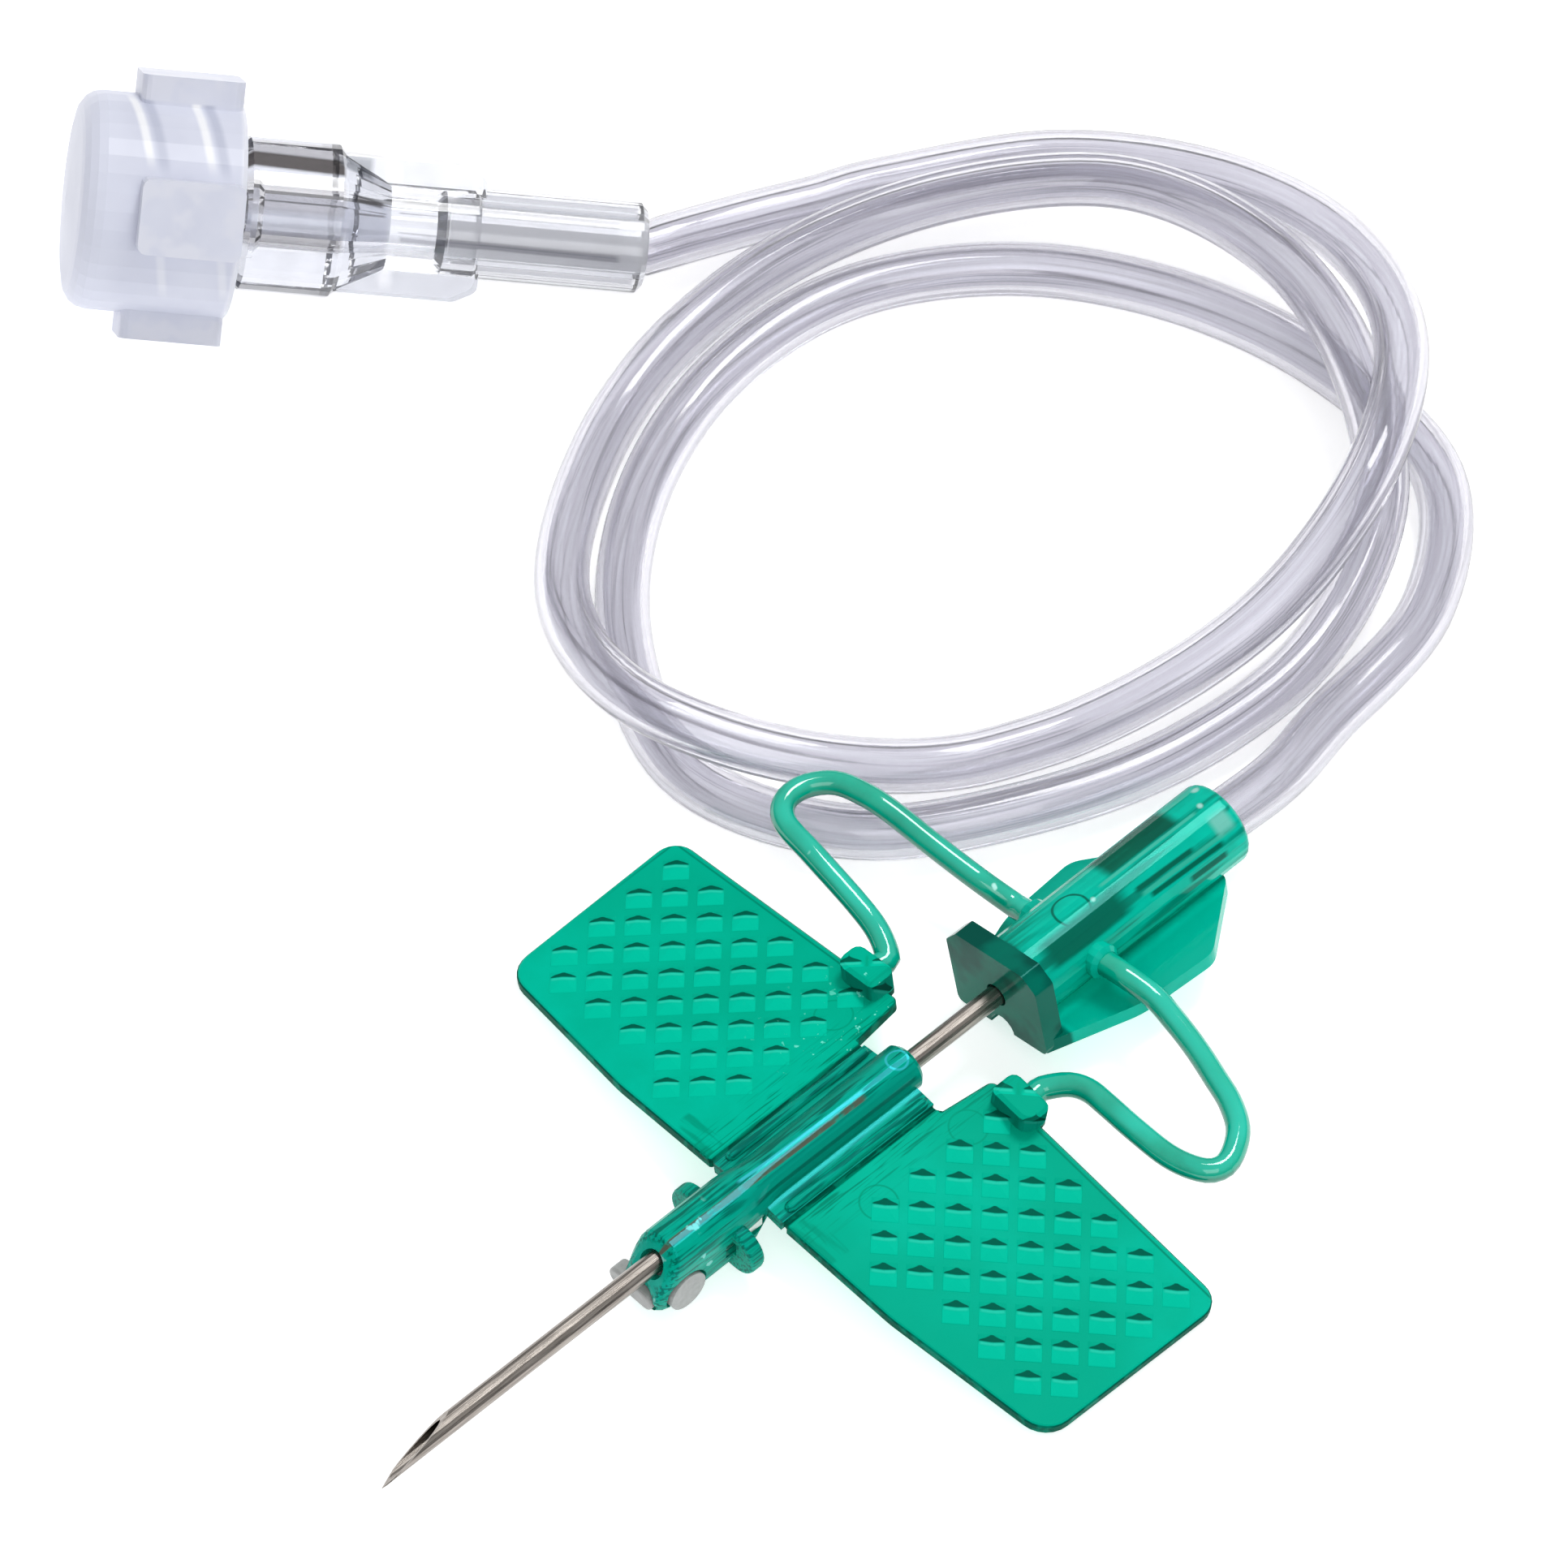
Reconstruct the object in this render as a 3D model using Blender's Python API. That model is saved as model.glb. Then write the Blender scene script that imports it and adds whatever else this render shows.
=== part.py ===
import math

import bmesh
import bpy
from mathutils import Matrix, Vector

for old in list(bpy.data.objects):
    bpy.data.objects.remove(old, do_unlink=True)

# Frame: the needle lies along Y with its tip toward -Y, +Z is up, the floor is Z = 0.

# Lengths along the needle, tip to tail
NEEDLE_OUT = 0.0233
NOSE_LENGTH = 0.0097
GUIDE_LENGTH = 0.0145
SLIDE_GAP = 0.0081
HUB_LENGTH = 0.0208

# Needle
NEEDLE_OD = 0.00145
NEEDLE_ID = 0.00110
NEEDLE_SEAT = 0.0090
BEVEL_LENGTH = 0.0068
BEVEL_ROLL = math.radians(-42)
FACET_ROLL = math.radians(34)
FACET_STEEPER = 1.75
RUNNING_FIT = 0.00028
SEAT_FIT = 0.00015

# Wings
WING_REACH = 0.0262
WING_FRONT_REACH = 0.0259
WING_THICKNESS = 0.0010
WING_DROOP = math.radians(8)
WING_SET = 0.00045
WING_REAR_PAST_GUIDE = 0.0035
WING_FRONT_KNEE = 0.0130
WING_KNEE_BACK = 0.0005
WING_SHOULDER_BACK = 0.0023
FRONT_CORNER = 0.0022
REAR_CORNER = 0.0016
EAR_INNER = 0.00445
EAR_NOTCH = 0.0008
HINGE_REACH = 0.0034
HINGE_GAP = 0.0003

# Knurl of square pyramids, its rows at 45 degrees to the needle
KNURL_PITCH = 0.0024
KNURL_HEIGHT = 0.00055
KNURL_FIRST = 0.00693
KNURL_REAR_MARGIN = 0.00205
KNURL_FRONT_MARGIN = 0.00185
KNURL_SIDE_MARGIN = 0.0019
KNURL_INNER_SLANT = 0.0103

# Lugs that carry the tethers, on the wings' rear edges
LUG_INNER = 0.0054
LUG_WIDTH = 0.0036
LUG_LENGTH = 0.0022
LUG_PAST_EDGE = 0.0008
LUG_HEIGHT = 0.0017

# Guard
GUIDE_OD = 0.0034
NOSE_HALF_WIDTH = 0.00205
NOSE_TOP = 0.00185
NOSE_BOTTOM = 0.00409
NOSE_SLOPE = 0.55
EAR_REACH = 0.0039
EAR_RADIUS = 0.00185
EAR_DROP = 0.00175
EAR_THICKNESS = 0.0012
EAR_BACK = 0.0064
RIB_RADIUS = 0.00042
RIB_REACH = 0.00275

# Tip shutter and its spring
TRUNNION_RADIUS = 0.00150
TRUNNION_BACK = 0.00235
TRUNNION_DROP = 0.00215
TRUNNION_INNER = 0.0013
TRUNNION_PROUD = 0.0001
BAR_LEFT = 0.00285
BAR_RIGHT = 0.00115
BAR_HEIGHT = 0.0015
BAR_DROP = 0.0026
BAR_THICKNESS = 0.0013
BAR_PROUD = 0.00015
SHUTTER_FIT = 0.0002
SPRING_LENGTH = 0.0033
SPRING_WIDTH = 0.0009
SPRING_THICKNESS = 0.00025
SPRING_BACK = 0.0060
SPRING_DROP = 0.0013
SPRING_SET = 0.0004

# Hub
HUB_ROLL = math.radians(-13)
BARREL_OD = 0.0061
BARREL_RIM = 0.00055
FLANGE_HALF_WIDTH = 0.0043
FLANGE_TOP = 0.0037
FLANGE_THICKNESS = 0.0016
FLANGE_CHAMFER = 0.0011
NOTCH_RADIUS = 0.0011
PANEL_REAR_HALF = 0.0069
PANEL_MID_HALF = 0.0065
PANEL_TAIL_HALF = 0.0025
PANEL_LENGTH = 0.0186
PANEL_THICKNESS = 0.0010
BOSS_RADIUS = 0.00125
BOSS_REACH = 0.0038
BOSS_BACK = 0.0066

# Tethers
TETHER_OD = 0.0018

# Tubing
TUBE_OD = 0.0038
TUBE_SEAT = 0.0060
TUBE_FIT = 0.0003
TUBE_STEP = 0.0061

# Luer connector, its stations measured from the tube end of the sleeve
SLEEVE_OD = 0.0063
SLEEVE_STEP = 0.0117
SLEEVE_LENGTH = 0.0180
SLEEVE_STEP_RISE = 0.0002
MOUTH_ROUND = 0.0004
CONE_LENGTH = 0.0032
COLLAR_OD = 0.0106
COLLAR_LENGTH = 0.0070
NECK_OD = 0.0078
NECK_LENGTH = 0.0070
NECK_EAR_REACH = 0.0050
NECK_EAR_LENGTH = 0.0014
SLEEVE_SEAT = 0.0140
LUMEN = 0.0028
LUER_BORE = 0.0042
LUER_DEPTH = 0.0085
GRIP_RIB_WIDTH = 0.0034
GRIP_RIB_START = 0.0114
GRIP_RIB_REACH = 0.0047

# Luer cap
CAP_OD = 0.0151
CAP_WALL = 0.0012
CAP_LENGTH = 0.0112
CAP_END_WALL = 0.0016
CAP_ROUND = 0.0016
CAP_LUG_REACH = 0.0091
CAP_LUG_WIDTH = 0.0052
CAP_LUG_LENGTH = 0.0071
CAP_LUG_ROUND = 0.0006
CAP_PIN_FIT = 0.0002
CAP_PIN_LENGTH = 0.0068
CAP_GAP = 0.0003

CONNECTOR_X = -0.0630
CONNECTOR_Y = 0.0447
CONNECTOR_HEADING = math.radians(228.0)
FLOOR_FIT = 0.00002

TOTAL = NEEDLE_OUT + NOSE_LENGTH + GUIDE_LENGTH + SLIDE_GAP + HUB_LENGTH
Y_TIP = -TOTAL / 2
Y_NOSE = Y_TIP + NEEDLE_OUT
Y_ROOT = Y_NOSE + NOSE_LENGTH
Y_GUIDE = Y_ROOT + GUIDE_LENGTH
Y_FLANGE = Y_GUIDE + SLIDE_GAP
Y_HUB_END = Y_FLANGE + HUB_LENGTH
Y_WING_REAR = Y_GUIDE + WING_REAR_PAST_GUIDE

# The wings' outer edges, or else the nose, stand on the floor and carry the needle.
WING_DEPTH = WING_SET + WING_THICKNESS / 2 * math.cos(WING_DROOP) + WING_REACH * math.sin(WING_DROOP)
AXIS_H = max(WING_DEPTH, NOSE_BOTTOM + FLOOR_FIT)
PANEL_DROP = (AXIS_H - FLOOR_FIT - PANEL_REAR_HALF * math.sin(-HUB_ROLL)) / math.cos(HUB_ROLL)

NEEDLE_FRAME = Matrix.Translation((0, 0, AXIS_H))
HUB_FRAME = NEEDLE_FRAME @ Matrix.Rotation(HUB_ROLL, 4, "Y")


def wing_frame(side):
    return Matrix.Translation((0, 0, -WING_SET)) @ Matrix.Rotation(side * WING_DROOP, 4, "Y")


def plastic(name, colour, roughness, clear=0.0, metallic=0.0):
    mat = bpy.data.materials.new(name)
    mat.use_nodes = True
    bsdf = mat.node_tree.nodes["Principled BSDF"]
    bsdf.inputs["Base Color"].default_value = (*colour, 1)
    bsdf.inputs["Roughness"].default_value = roughness
    bsdf.inputs["Metallic"].default_value = metallic
    bsdf.inputs["Transmission Weight"].default_value = clear
    mat.diffuse_color = (*colour, 1)
    return mat


def add_object(name, bm, mat=None, frame=None, smooth=35):
    bmesh.ops.recalc_face_normals(bm, faces=bm.faces)
    mesh = bpy.data.meshes.new(name)
    bm.to_mesh(mesh)
    bm.free()
    obj = bpy.data.objects.new(name, mesh)
    bpy.context.scene.collection.objects.link(obj)
    if mat:
        mesh.materials.append(mat)
        mesh.shade_smooth()
        mesh.set_sharp_from_angle(angle=math.radians(smooth))
    if frame:
        obj.matrix_world = frame
    return obj


def combine(target, tool, operation):
    """The tool is a guide body: it is kept on the object it shapes, drawn as wire."""
    tool.hide_render = True
    tool.display_type = "WIRE"
    tool.parent = target
    tool.matrix_parent_inverse = Matrix.Identity(4)
    mod = target.modifiers.new(tool.name, "BOOLEAN")
    mod.operation = operation
    mod.solver = "EXACT"
    mod.object = tool


def join(target, name, bm):
    combine(target, add_object(name, bm), "UNION")


def cut(target, name, bm):
    combine(target, add_object(name, bm), "DIFFERENCE")


def lathe(profile, segments, closed=False):
    """A profile of (radius, y) turned round Y. A closed profile makes a tube."""
    bm = bmesh.new()
    rings = []
    for radius, y in profile:
        if radius < 1e-9:
            rings.append([bm.verts.new((0, y, 0))])
            continue
        ring = []
        for k in range(segments):
            a = 2 * math.pi * (k + 0.5) / segments
            ring.append(bm.verts.new((radius * math.sin(a), y, radius * math.cos(a))))
        rings.append(ring)
    pairs = list(zip(rings, rings[1:]))
    if closed:
        pairs.append((rings[-1], rings[0]))
    for lower, upper in pairs:
        for k in range(segments):
            n = (k + 1) % segments
            corners = [lower[k % len(lower)], lower[n % len(lower)], upper[n % len(upper)], upper[k % len(upper)]]
            unique = list(dict.fromkeys(corners))
            if len(unique) > 2:
                bm.faces.new(unique)
    return bm


def loft(rings, fan=False):
    """Rings joined end to end; with fan the two ends are closed round a middle point."""
    bm = bmesh.new()
    made = [[bm.verts.new(p) for p in ring] for ring in rings]
    count = len(made[0])
    for lower, upper in zip(made, made[1:]):
        for k in range(count):
            n = (k + 1) % count
            bm.faces.new((lower[k], lower[n], upper[n], upper[k]))
    for ring, order in ((made[0], 1), (made[-1], -1)):
        if not fan:
            bm.faces.new(ring[::order])
            continue
        middle = bm.verts.new(sum((v.co for v in ring), Vector()) / count)
        for k in range(count):
            bm.faces.new((ring[k], ring[(k + 1) % count], middle))
    return bm


def prism(outline, low, high, place):
    """An outline of 2-D points carried from low to high; place(u, v, w) gives each corner."""
    return loft([[place(u, v, low) for u, v in outline], [place(u, v, high) for u, v in outline]])


def flat_plate(u, v, w):
    return (u, v, w)


def across_y(u, v, w):
    return (u, w, v)


def along_x(u, v, w):
    return (w, u, v)


def block(low, high):
    outline = [(low[0], low[1]), (high[0], low[1]), (high[0], high[1]), (low[0], high[1])]
    return prism(outline, low[2], high[2], flat_plate)


def rounded(corners, steps=5):
    """Corners of (u, v, radius); each radius becomes an arc tangent to both of its sides."""
    points = []
    count = len(corners)
    for i, (u, v, radius) in enumerate(corners):
        here = Vector((u, v))
        if radius <= 0:
            points.append((u, v))
            continue
        back = Vector(corners[i - 1][:2]) - here
        ahead = Vector(corners[(i + 1) % count][:2]) - here
        half = back.angle(ahead) / 2
        reach = radius / math.tan(half)
        centre = here + (back.normalized() + ahead.normalized()).normalized() * radius / math.sin(half)
        first = here + back.normalized() * reach - centre
        last = here + ahead.normalized() * reach - centre
        turn = first.angle_signed(last)
        for k in range(steps + 1):
            a = -turn * k / steps
            x = first.x * math.cos(a) - first.y * math.sin(a)
            y = first.x * math.sin(a) + first.y * math.cos(a)
            points.append((centre.x + x, centre.y + y))
    return points


def oval(half_u, half_v, steps, centre=(0, 0), power=2.0):
    points = []
    for k in range(steps):
        a = 2 * math.pi * (k + 0.5) / steps
        c, s = math.cos(a), math.sin(a)
        u = half_u * math.copysign(abs(c) ** (2 / power), c)
        v = half_v * math.copysign(abs(s) ** (2 / power), s)
        points.append((centre[0] + u, centre[1] + v))
    return points


def moved(bm, matrix):
    bmesh.ops.transform(bm, matrix=matrix, verts=bm.verts)
    return bm


def softened(bm, width, segments=2):
    bmesh.ops.recalc_face_normals(bm, faces=bm.faces)
    sharp = [e for e in bm.edges if len(e.link_faces) == 2 and e.calc_face_angle() > math.radians(40)]
    bmesh.ops.bevel(bm, geom=sharp, offset=width, segments=segments, profile=0.5, affect="EDGES")
    return bm


# Needle: a thin tube, ground to a long bevel with two steeper facets at the point
def build_cannula(mat):
    outer, inner = NEEDLE_OD / 2, NEEDLE_ID / 2
    tail = Y_FLANGE + NEEDLE_SEAT
    bm = lathe([(outer, Y_TIP), (outer, tail), (inner, tail), (inner, Y_TIP)], 20, closed=True)
    obj = add_object("cannula", bm, mat, NEEDLE_FRAME)
    grind = math.atan2(NEEDLE_OD, BEVEL_LENGTH)
    roll = Matrix.Rotation(BEVEL_ROLL, 4, "Y")
    tip = Matrix.Translation((0, Y_TIP, -outer))
    cuts = ((0, grind), (FACET_ROLL, grind * FACET_STEEPER), (-FACET_ROLL, grind * FACET_STEEPER))
    for number, (turn, angle) in enumerate(cuts):
        stone = block((-4 * outer, -BEVEL_LENGTH, 0), (4 * outer, 3 * BEVEL_LENGTH, 8 * outer))
        place = roll @ tip @ Matrix.Rotation(turn, 4, "Y") @ Matrix.Rotation(angle, 4, "X")
        cut(obj, f"grind_{number}", moved(stone, place))
    return obj


# Hub: barrel, chamfered front flange, flared base panel, tether bosses, stepped bore
def build_hub(mat):
    radius = BARREL_OD / 2
    rim = [(radius - BARREL_RIM * (1 - math.sin(a)), Y_HUB_END - BARREL_RIM * (1 - math.cos(a)))
           for a in [math.pi / 2 * k / 4 for k in range(4, -1, -1)]]
    front = Y_FLANGE + FLANGE_THICKNESS / 2
    obj = add_object("needle_hub", lathe([(0, front), (radius, front), *rim, (0, Y_HUB_END)], 28), mat, HUB_FRAME)

    bottom = -PANEL_DROP
    flange = rounded([
        (-FLANGE_HALF_WIDTH, bottom, 0.0005),
        (FLANGE_HALF_WIDTH, bottom, 0.0005),
        (FLANGE_HALF_WIDTH, FLANGE_TOP - FLANGE_CHAMFER, 0.0004),
        (FLANGE_HALF_WIDTH - FLANGE_CHAMFER, FLANGE_TOP, 0.0004),
        (-FLANGE_HALF_WIDTH + FLANGE_CHAMFER, FLANGE_TOP, 0.0004),
        (-FLANGE_HALF_WIDTH, FLANGE_TOP - FLANGE_CHAMFER, 0.0004),
    ], 3)
    join(obj, "flange", prism(flange, Y_FLANGE, Y_FLANGE + FLANGE_THICKNESS, across_y))

    side = [
        (FLANGE_HALF_WIDTH - 0.0002, Y_FLANGE + 0.0002, 0.0),
        (PANEL_MID_HALF, Y_FLANGE + PANEL_LENGTH * 0.36, 0.006),
        (PANEL_REAR_HALF, Y_FLANGE + PANEL_LENGTH * 0.70, 0.0018),
        (PANEL_TAIL_HALF, Y_FLANGE + PANEL_LENGTH, 0.0012),
    ]
    outline = rounded(side + [(-u, v, r) for u, v, r in side[::-1]], 4)
    join(obj, "base_panel", prism(outline, bottom, bottom + PANEL_THICKNESS, flat_plate))

    for name, turn in (("boss_right", 1), ("boss_left", -1)):
        reach = BOSS_REACH * turn
        round_end = [(BOSS_RADIUS - 0.0003, reach), (BOSS_RADIUS, reach - 0.0003 * turn)]
        peg = lathe([(0, reach), *round_end, (BOSS_RADIUS, radius * 0.5 * turn), (0, radius * 0.5 * turn)], 16)
        turned = Matrix.Translation((0, Y_FLANGE + BOSS_BACK, 0)) @ Matrix.Rotation(-math.pi / 2, 4, "Z")
        join(obj, name, moved(peg, turned))

    seat = NEEDLE_OD / 2 + SEAT_FIT
    socket = TUBE_OD / 2 + TUBE_FIT
    floor = Y_HUB_END - TUBE_SEAT
    lead = 0.0002
    bore = [(0, Y_FLANGE - 0.001), (seat, Y_FLANGE - 0.001), (seat, floor), (socket, floor), (socket, Y_HUB_END - lead),
            (socket + 2 * lead, Y_HUB_END + lead), (socket + 2 * lead, Y_HUB_END + 0.001), (0, Y_HUB_END + 0.001)]
    cut(obj, "hub_bore", lathe(bore, 20))
    notch = prism(oval(NOTCH_RADIUS, NOTCH_RADIUS, 16, (0, bottom)), Y_FLANGE - 0.001, Y_FLANGE + FLANGE_THICKNESS / 2,
                  across_y)
    cut(obj, "flange_notch", notch)
    return obj


def nose_ring(y, size, fade, merge):
    """A tall oval round the needle; merge 1 is the round of the guide tube."""
    guide = GUIDE_OD / 2
    half_w = NOSE_HALF_WIDTH * size * (1 - merge) + guide * merge
    half_h = (NOSE_TOP + NOSE_BOTTOM) / 2 * size * (1 - merge) + guide * merge
    middle = (NOSE_TOP - NOSE_BOTTOM) / 2 * (1 - merge)
    points = []
    for u, v in oval(half_w, half_h, 28, (0, middle), 2.0 + 0.8 * (1 - merge)):
        lean = NOSE_SLOPE * fade * max(0.0, v + NOSE_BOTTOM * 0.45)
        points.append((u, y + lean, v))
    return points


# Guard: deep nose round the tip, guide tube, hinge webs and ears
def build_guard(mat):
    stations = [(0, 0.66), (0.0002, 0.82), (0.0006, 0.92), (0.0012, 0.98), (0.0022, 1.0)]
    rings = [nose_ring(Y_NOSE + off, size, 1 - off / 0.0022, 0) for off, size in stations]
    rings.append(nose_ring(Y_NOSE + EAR_BACK, 1.0, 0, 0))
    taper = NOSE_LENGTH - EAR_BACK - EAR_THICKNESS
    for k in range(5):
        share = k / 4
        ease = share * share * (3 - 2 * share)
        y = Y_NOSE + EAR_BACK + EAR_THICKNESS + 0.0004 + (taper + 0.0012) * share
        rings.append(nose_ring(y, 1.0, 0, ease))
    rings.append(nose_ring(Y_GUIDE - 0.0003, 1.0, 0, 1))
    rings.append([(x * 0.85, Y_GUIDE, z * 0.85) for x, y, z in rings[-1]])
    obj = add_object("guard_barrel", loft(rings, True), mat, NEEDLE_FRAME)
    radius = GUIDE_OD / 2

    ears = [(-EAR_REACH, -EAR_RADIUS - EAR_DROP, EAR_RADIUS * 0.98), (EAR_REACH, -EAR_RADIUS - EAR_DROP, EAR_RADIUS * 0.98),
            (EAR_REACH, EAR_RADIUS - EAR_DROP, EAR_RADIUS * 0.98), (-EAR_REACH, EAR_RADIUS - EAR_DROP, EAR_RADIUS * 0.98)]
    disc = prism(rounded(ears, 7), Y_NOSE + EAR_BACK, Y_NOSE + EAR_BACK + EAR_THICKNESS, across_y)
    join(obj, "ears", softened(disc, 0.00025))

    for name, side in (("right", 1), ("left", -1)):
        edge = side * (HINGE_REACH - HINGE_GAP / 2)
        rear = Y_GUIDE - EAR_NOTCH
        low, high = sorted((side * radius * 0.6, edge))
        web = block((low, Y_ROOT, -WING_THICKNESS / 2), (high, rear, WING_THICKNESS / 2))
        join(obj, f"web_{name}", moved(web, wing_frame(side)))
        ends = [(RIB_RADIUS * math.sin(a), RIB_RADIUS * math.cos(a)) for a in (0, math.pi / 6, math.pi / 3)]
        start, stop = Y_ROOT + 0.0012, rear - 0.0006
        rib = [*((r, start - y) for r, y in ends), (RIB_RADIUS, start), (RIB_RADIUS, stop),
               *((r, stop + y) for r, y in ends[::-1])]
        seat = wing_frame(side) @ Matrix.Translation((side * RIB_REACH, 0, WING_THICKNESS / 2))
        join(obj, f"rib_{name}", moved(lathe(rib, 12), seat))

    bore = NEEDLE_OD / 2 + RUNNING_FIT
    cut(obj, "guide_bore", lathe([(0, Y_NOSE - 0.002), (bore, Y_NOSE - 0.002), (bore, Y_GUIDE + 0.002),
                                  (0, Y_GUIDE + 0.002)], 20))
    trunnion, bar = shutter_shapes(SHUTTER_FIT, 0.0005)
    cut(obj, "trunnion_seat", trunnion)
    cut(obj, "bar_slot", bar)
    groove = block(
        (spring_x() - SPRING_THICKNESS / 2 - SHUTTER_FIT, Y_NOSE + SPRING_BACK - SHUTTER_FIT,
         -SPRING_DROP - SPRING_WIDTH / 2 - SHUTTER_FIT),
        (NOSE_HALF_WIDTH + 0.0003, Y_NOSE + SPRING_BACK + SPRING_LENGTH + SHUTTER_FIT,
         -SPRING_DROP + SPRING_WIDTH / 2 + SHUTTER_FIT))
    cut(obj, "spring_groove", groove)
    return obj


def spring_x():
    return NOSE_HALF_WIDTH - SPRING_SET


def shutter_shapes(grow, open_end):
    """The shutter's trunnion and bar, or with a clearance the seats cut for them."""
    radius = TRUNNION_RADIUS + grow
    right = NOSE_HALF_WIDTH + TRUNNION_PROUD + open_end * (grow > 0)
    left = -TRUNNION_INNER - grow
    centre = (Y_NOSE + TRUNNION_BACK, -TRUNNION_DROP)
    trunnion = prism(oval(radius, radius, 24, centre), left, right, along_x)
    half = BAR_HEIGHT / 2 + grow
    near = -BAR_LEFT - grow
    far = BAR_RIGHT + grow
    ends = [(near, -BAR_DROP - half, half * 0.95), (far, -BAR_DROP - half, half * 0.95),
            (far, -BAR_DROP + half, half * 0.95), (near, -BAR_DROP + half, half * 0.95)]
    front = Y_NOSE - BAR_PROUD - open_end * (grow > 0)
    back = Y_NOSE - BAR_PROUD + BAR_THICKNESS + grow
    bar = prism(rounded(ends, 5), front, back, across_y)
    return trunnion, bar


# Shutter: a round trunnion in the right flank and a bar across the front of the nose
def build_shutter(mat):
    trunnion, bar = shutter_shapes(0, 0)
    obj = add_object("tip_shutter", trunnion, mat, NEEDLE_FRAME)
    join(obj, "front_bar", softened(bar, 0.00018))
    bore = NEEDLE_OD / 2 + RUNNING_FIT
    cut(obj, "needle_way", lathe([(0, Y_NOSE - 0.002), (bore, Y_NOSE - 0.002), (bore, Y_ROOT), (0, Y_ROOT)], 20))
    return obj


# Spring: a thin steel strip in the groove of the right flank, through the ear
def build_spring(mat):
    start = Y_NOSE + SPRING_BACK
    half_t, half_w = SPRING_THICKNESS / 2, SPRING_WIDTH / 2
    bm = block((spring_x() - half_t, start, -SPRING_DROP - half_w), (spring_x() + half_t, start + SPRING_LENGTH, -SPRING_DROP + half_w))
    return add_object("spring_strip", bm, mat, NEEDLE_FRAME)


def wing_front(reach):
    """The wing's front edge: level to the knee, then slanting back to the shoulder."""
    if reach <= WING_FRONT_KNEE:
        return Y_ROOT + WING_KNEE_BACK * reach / WING_FRONT_KNEE
    share = (reach - WING_FRONT_KNEE) / (WING_FRONT_REACH - WING_FRONT_KNEE)
    return Y_ROOT + WING_KNEE_BACK + (WING_SHOULDER_BACK - WING_KNEE_BACK) * share


def wing_outline():
    inner = HINGE_REACH + HINGE_GAP / 2
    notch = Y_GUIDE - EAR_NOTCH
    return rounded([
        (inner, Y_ROOT, 0),
        (WING_FRONT_KNEE, wing_front(WING_FRONT_KNEE), 0.012),
        (WING_FRONT_REACH, wing_front(WING_FRONT_REACH), FRONT_CORNER),
        (WING_REACH, Y_WING_REAR, REAR_CORNER),
        (EAR_INNER, Y_WING_REAR, 0.0006),
        (inner + 0.0004, notch, 0.0),
        (inner, notch, 0),
    ], 6)


def knurl_centres():
    half = KNURL_PITCH / math.sqrt(2)
    column = 0
    while KNURL_FIRST + column * half <= WING_REACH - KNURL_SIDE_MARGIN:
        reach = KNURL_FIRST + column * half
        y = Y_WING_REAR - KNURL_REAR_MARGIN - (column % 2) * half
        slant = Y_ROOT + KNURL_FRONT_MARGIN + 0.00015 + max(0.0, KNURL_INNER_SLANT - reach)
        while y >= max(slant, wing_front(reach) + KNURL_FRONT_MARGIN):
            yield reach, y
            y -= 2 * half
        column += 1


# Wings: knurled plates that hinge on a line through their upper faces
def build_wing(name, side, mat):
    frame = NEEDLE_FRAME @ wing_frame(side) @ Matrix.Translation((side * HINGE_REACH, Y_ROOT, WING_THICKNESS / 2))
    local = Matrix.Translation((-side * HINGE_REACH, -Y_ROOT, 0))
    outline = [(side * u, v) for u, v in wing_outline()]
    plate = prism(outline, -WING_THICKNESS, 0, flat_plate)
    plate = softened(moved(plate, local), 0.00018, 1)
    obj = add_object(name, plate, mat, frame)

    half = KNURL_PITCH / math.sqrt(2) * 0.97
    sunk = 0.00015
    studs = bmesh.new()
    for reach, y in knurl_centres():
        u, v = side * (reach - HINGE_REACH), y - Y_ROOT
        base = [studs.verts.new((u + du * half, v + dv * half, -sunk)) for du, dv in ((1, 0), (0, 1), (-1, 0), (0, -1))]
        top = studs.verts.new((u, v, KNURL_HEIGHT))
        studs.faces.new(base[::-1])
        for k in range(4):
            studs.faces.new((base[k], base[(k + 1) % 4], top))
    join(obj, f"{name}_knurl", studs)

    low = LUG_INNER - HINGE_REACH
    near, far = Y_WING_REAR - Y_ROOT + LUG_PAST_EDGE - LUG_LENGTH, Y_WING_REAR - Y_ROOT + LUG_PAST_EDGE
    foot = rounded([(low, near, 0.0004), (low + LUG_WIDTH, near, 0.0009), (low + LUG_WIDTH, far, 0.0006),
                    (low, far, 0.0006)], 3)
    lug = prism([(side * u, v) for u, v in foot], -WING_THICKNESS * 0.8, LUG_HEIGHT, flat_plate)
    join(obj, f"{name}_lug", softened(lug, 0.00025, 1))
    return obj


def smooth_line(route, step):
    """Points about one step apart on a smooth curve through the route."""
    fine = []
    for i in range(len(route) - 1):
        a = route[max(i - 1, 0)]
        b = route[i]
        c = route[i + 1]
        d = route[min(i + 2, len(route) - 1)]
        for k in range(20):
            s = k / 20
            fine.append((b * 2 + (c - a) * s + (a * 2 - b * 5 + c * 4 - d) * s * s + (b * 3 - a - c * 3 + d) * s ** 3) / 2)
    fine.append(route[-1])
    lengths = [0.0]
    for a, b in zip(fine, fine[1:]):
        lengths.append(lengths[-1] + (b - a).length)
    count = max(2, round(lengths[-1] / step))
    points = []
    j = 0
    for i in range(count + 1):
        want = lengths[-1] * i / count
        while j < len(fine) - 2 and lengths[j + 1] < want:
            j += 1
        share = (want - lengths[j]) / (lengths[j + 1] - lengths[j])
        points.append(fine[j].lerp(fine[j + 1], min(share, 1.0)))
    return points


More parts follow.
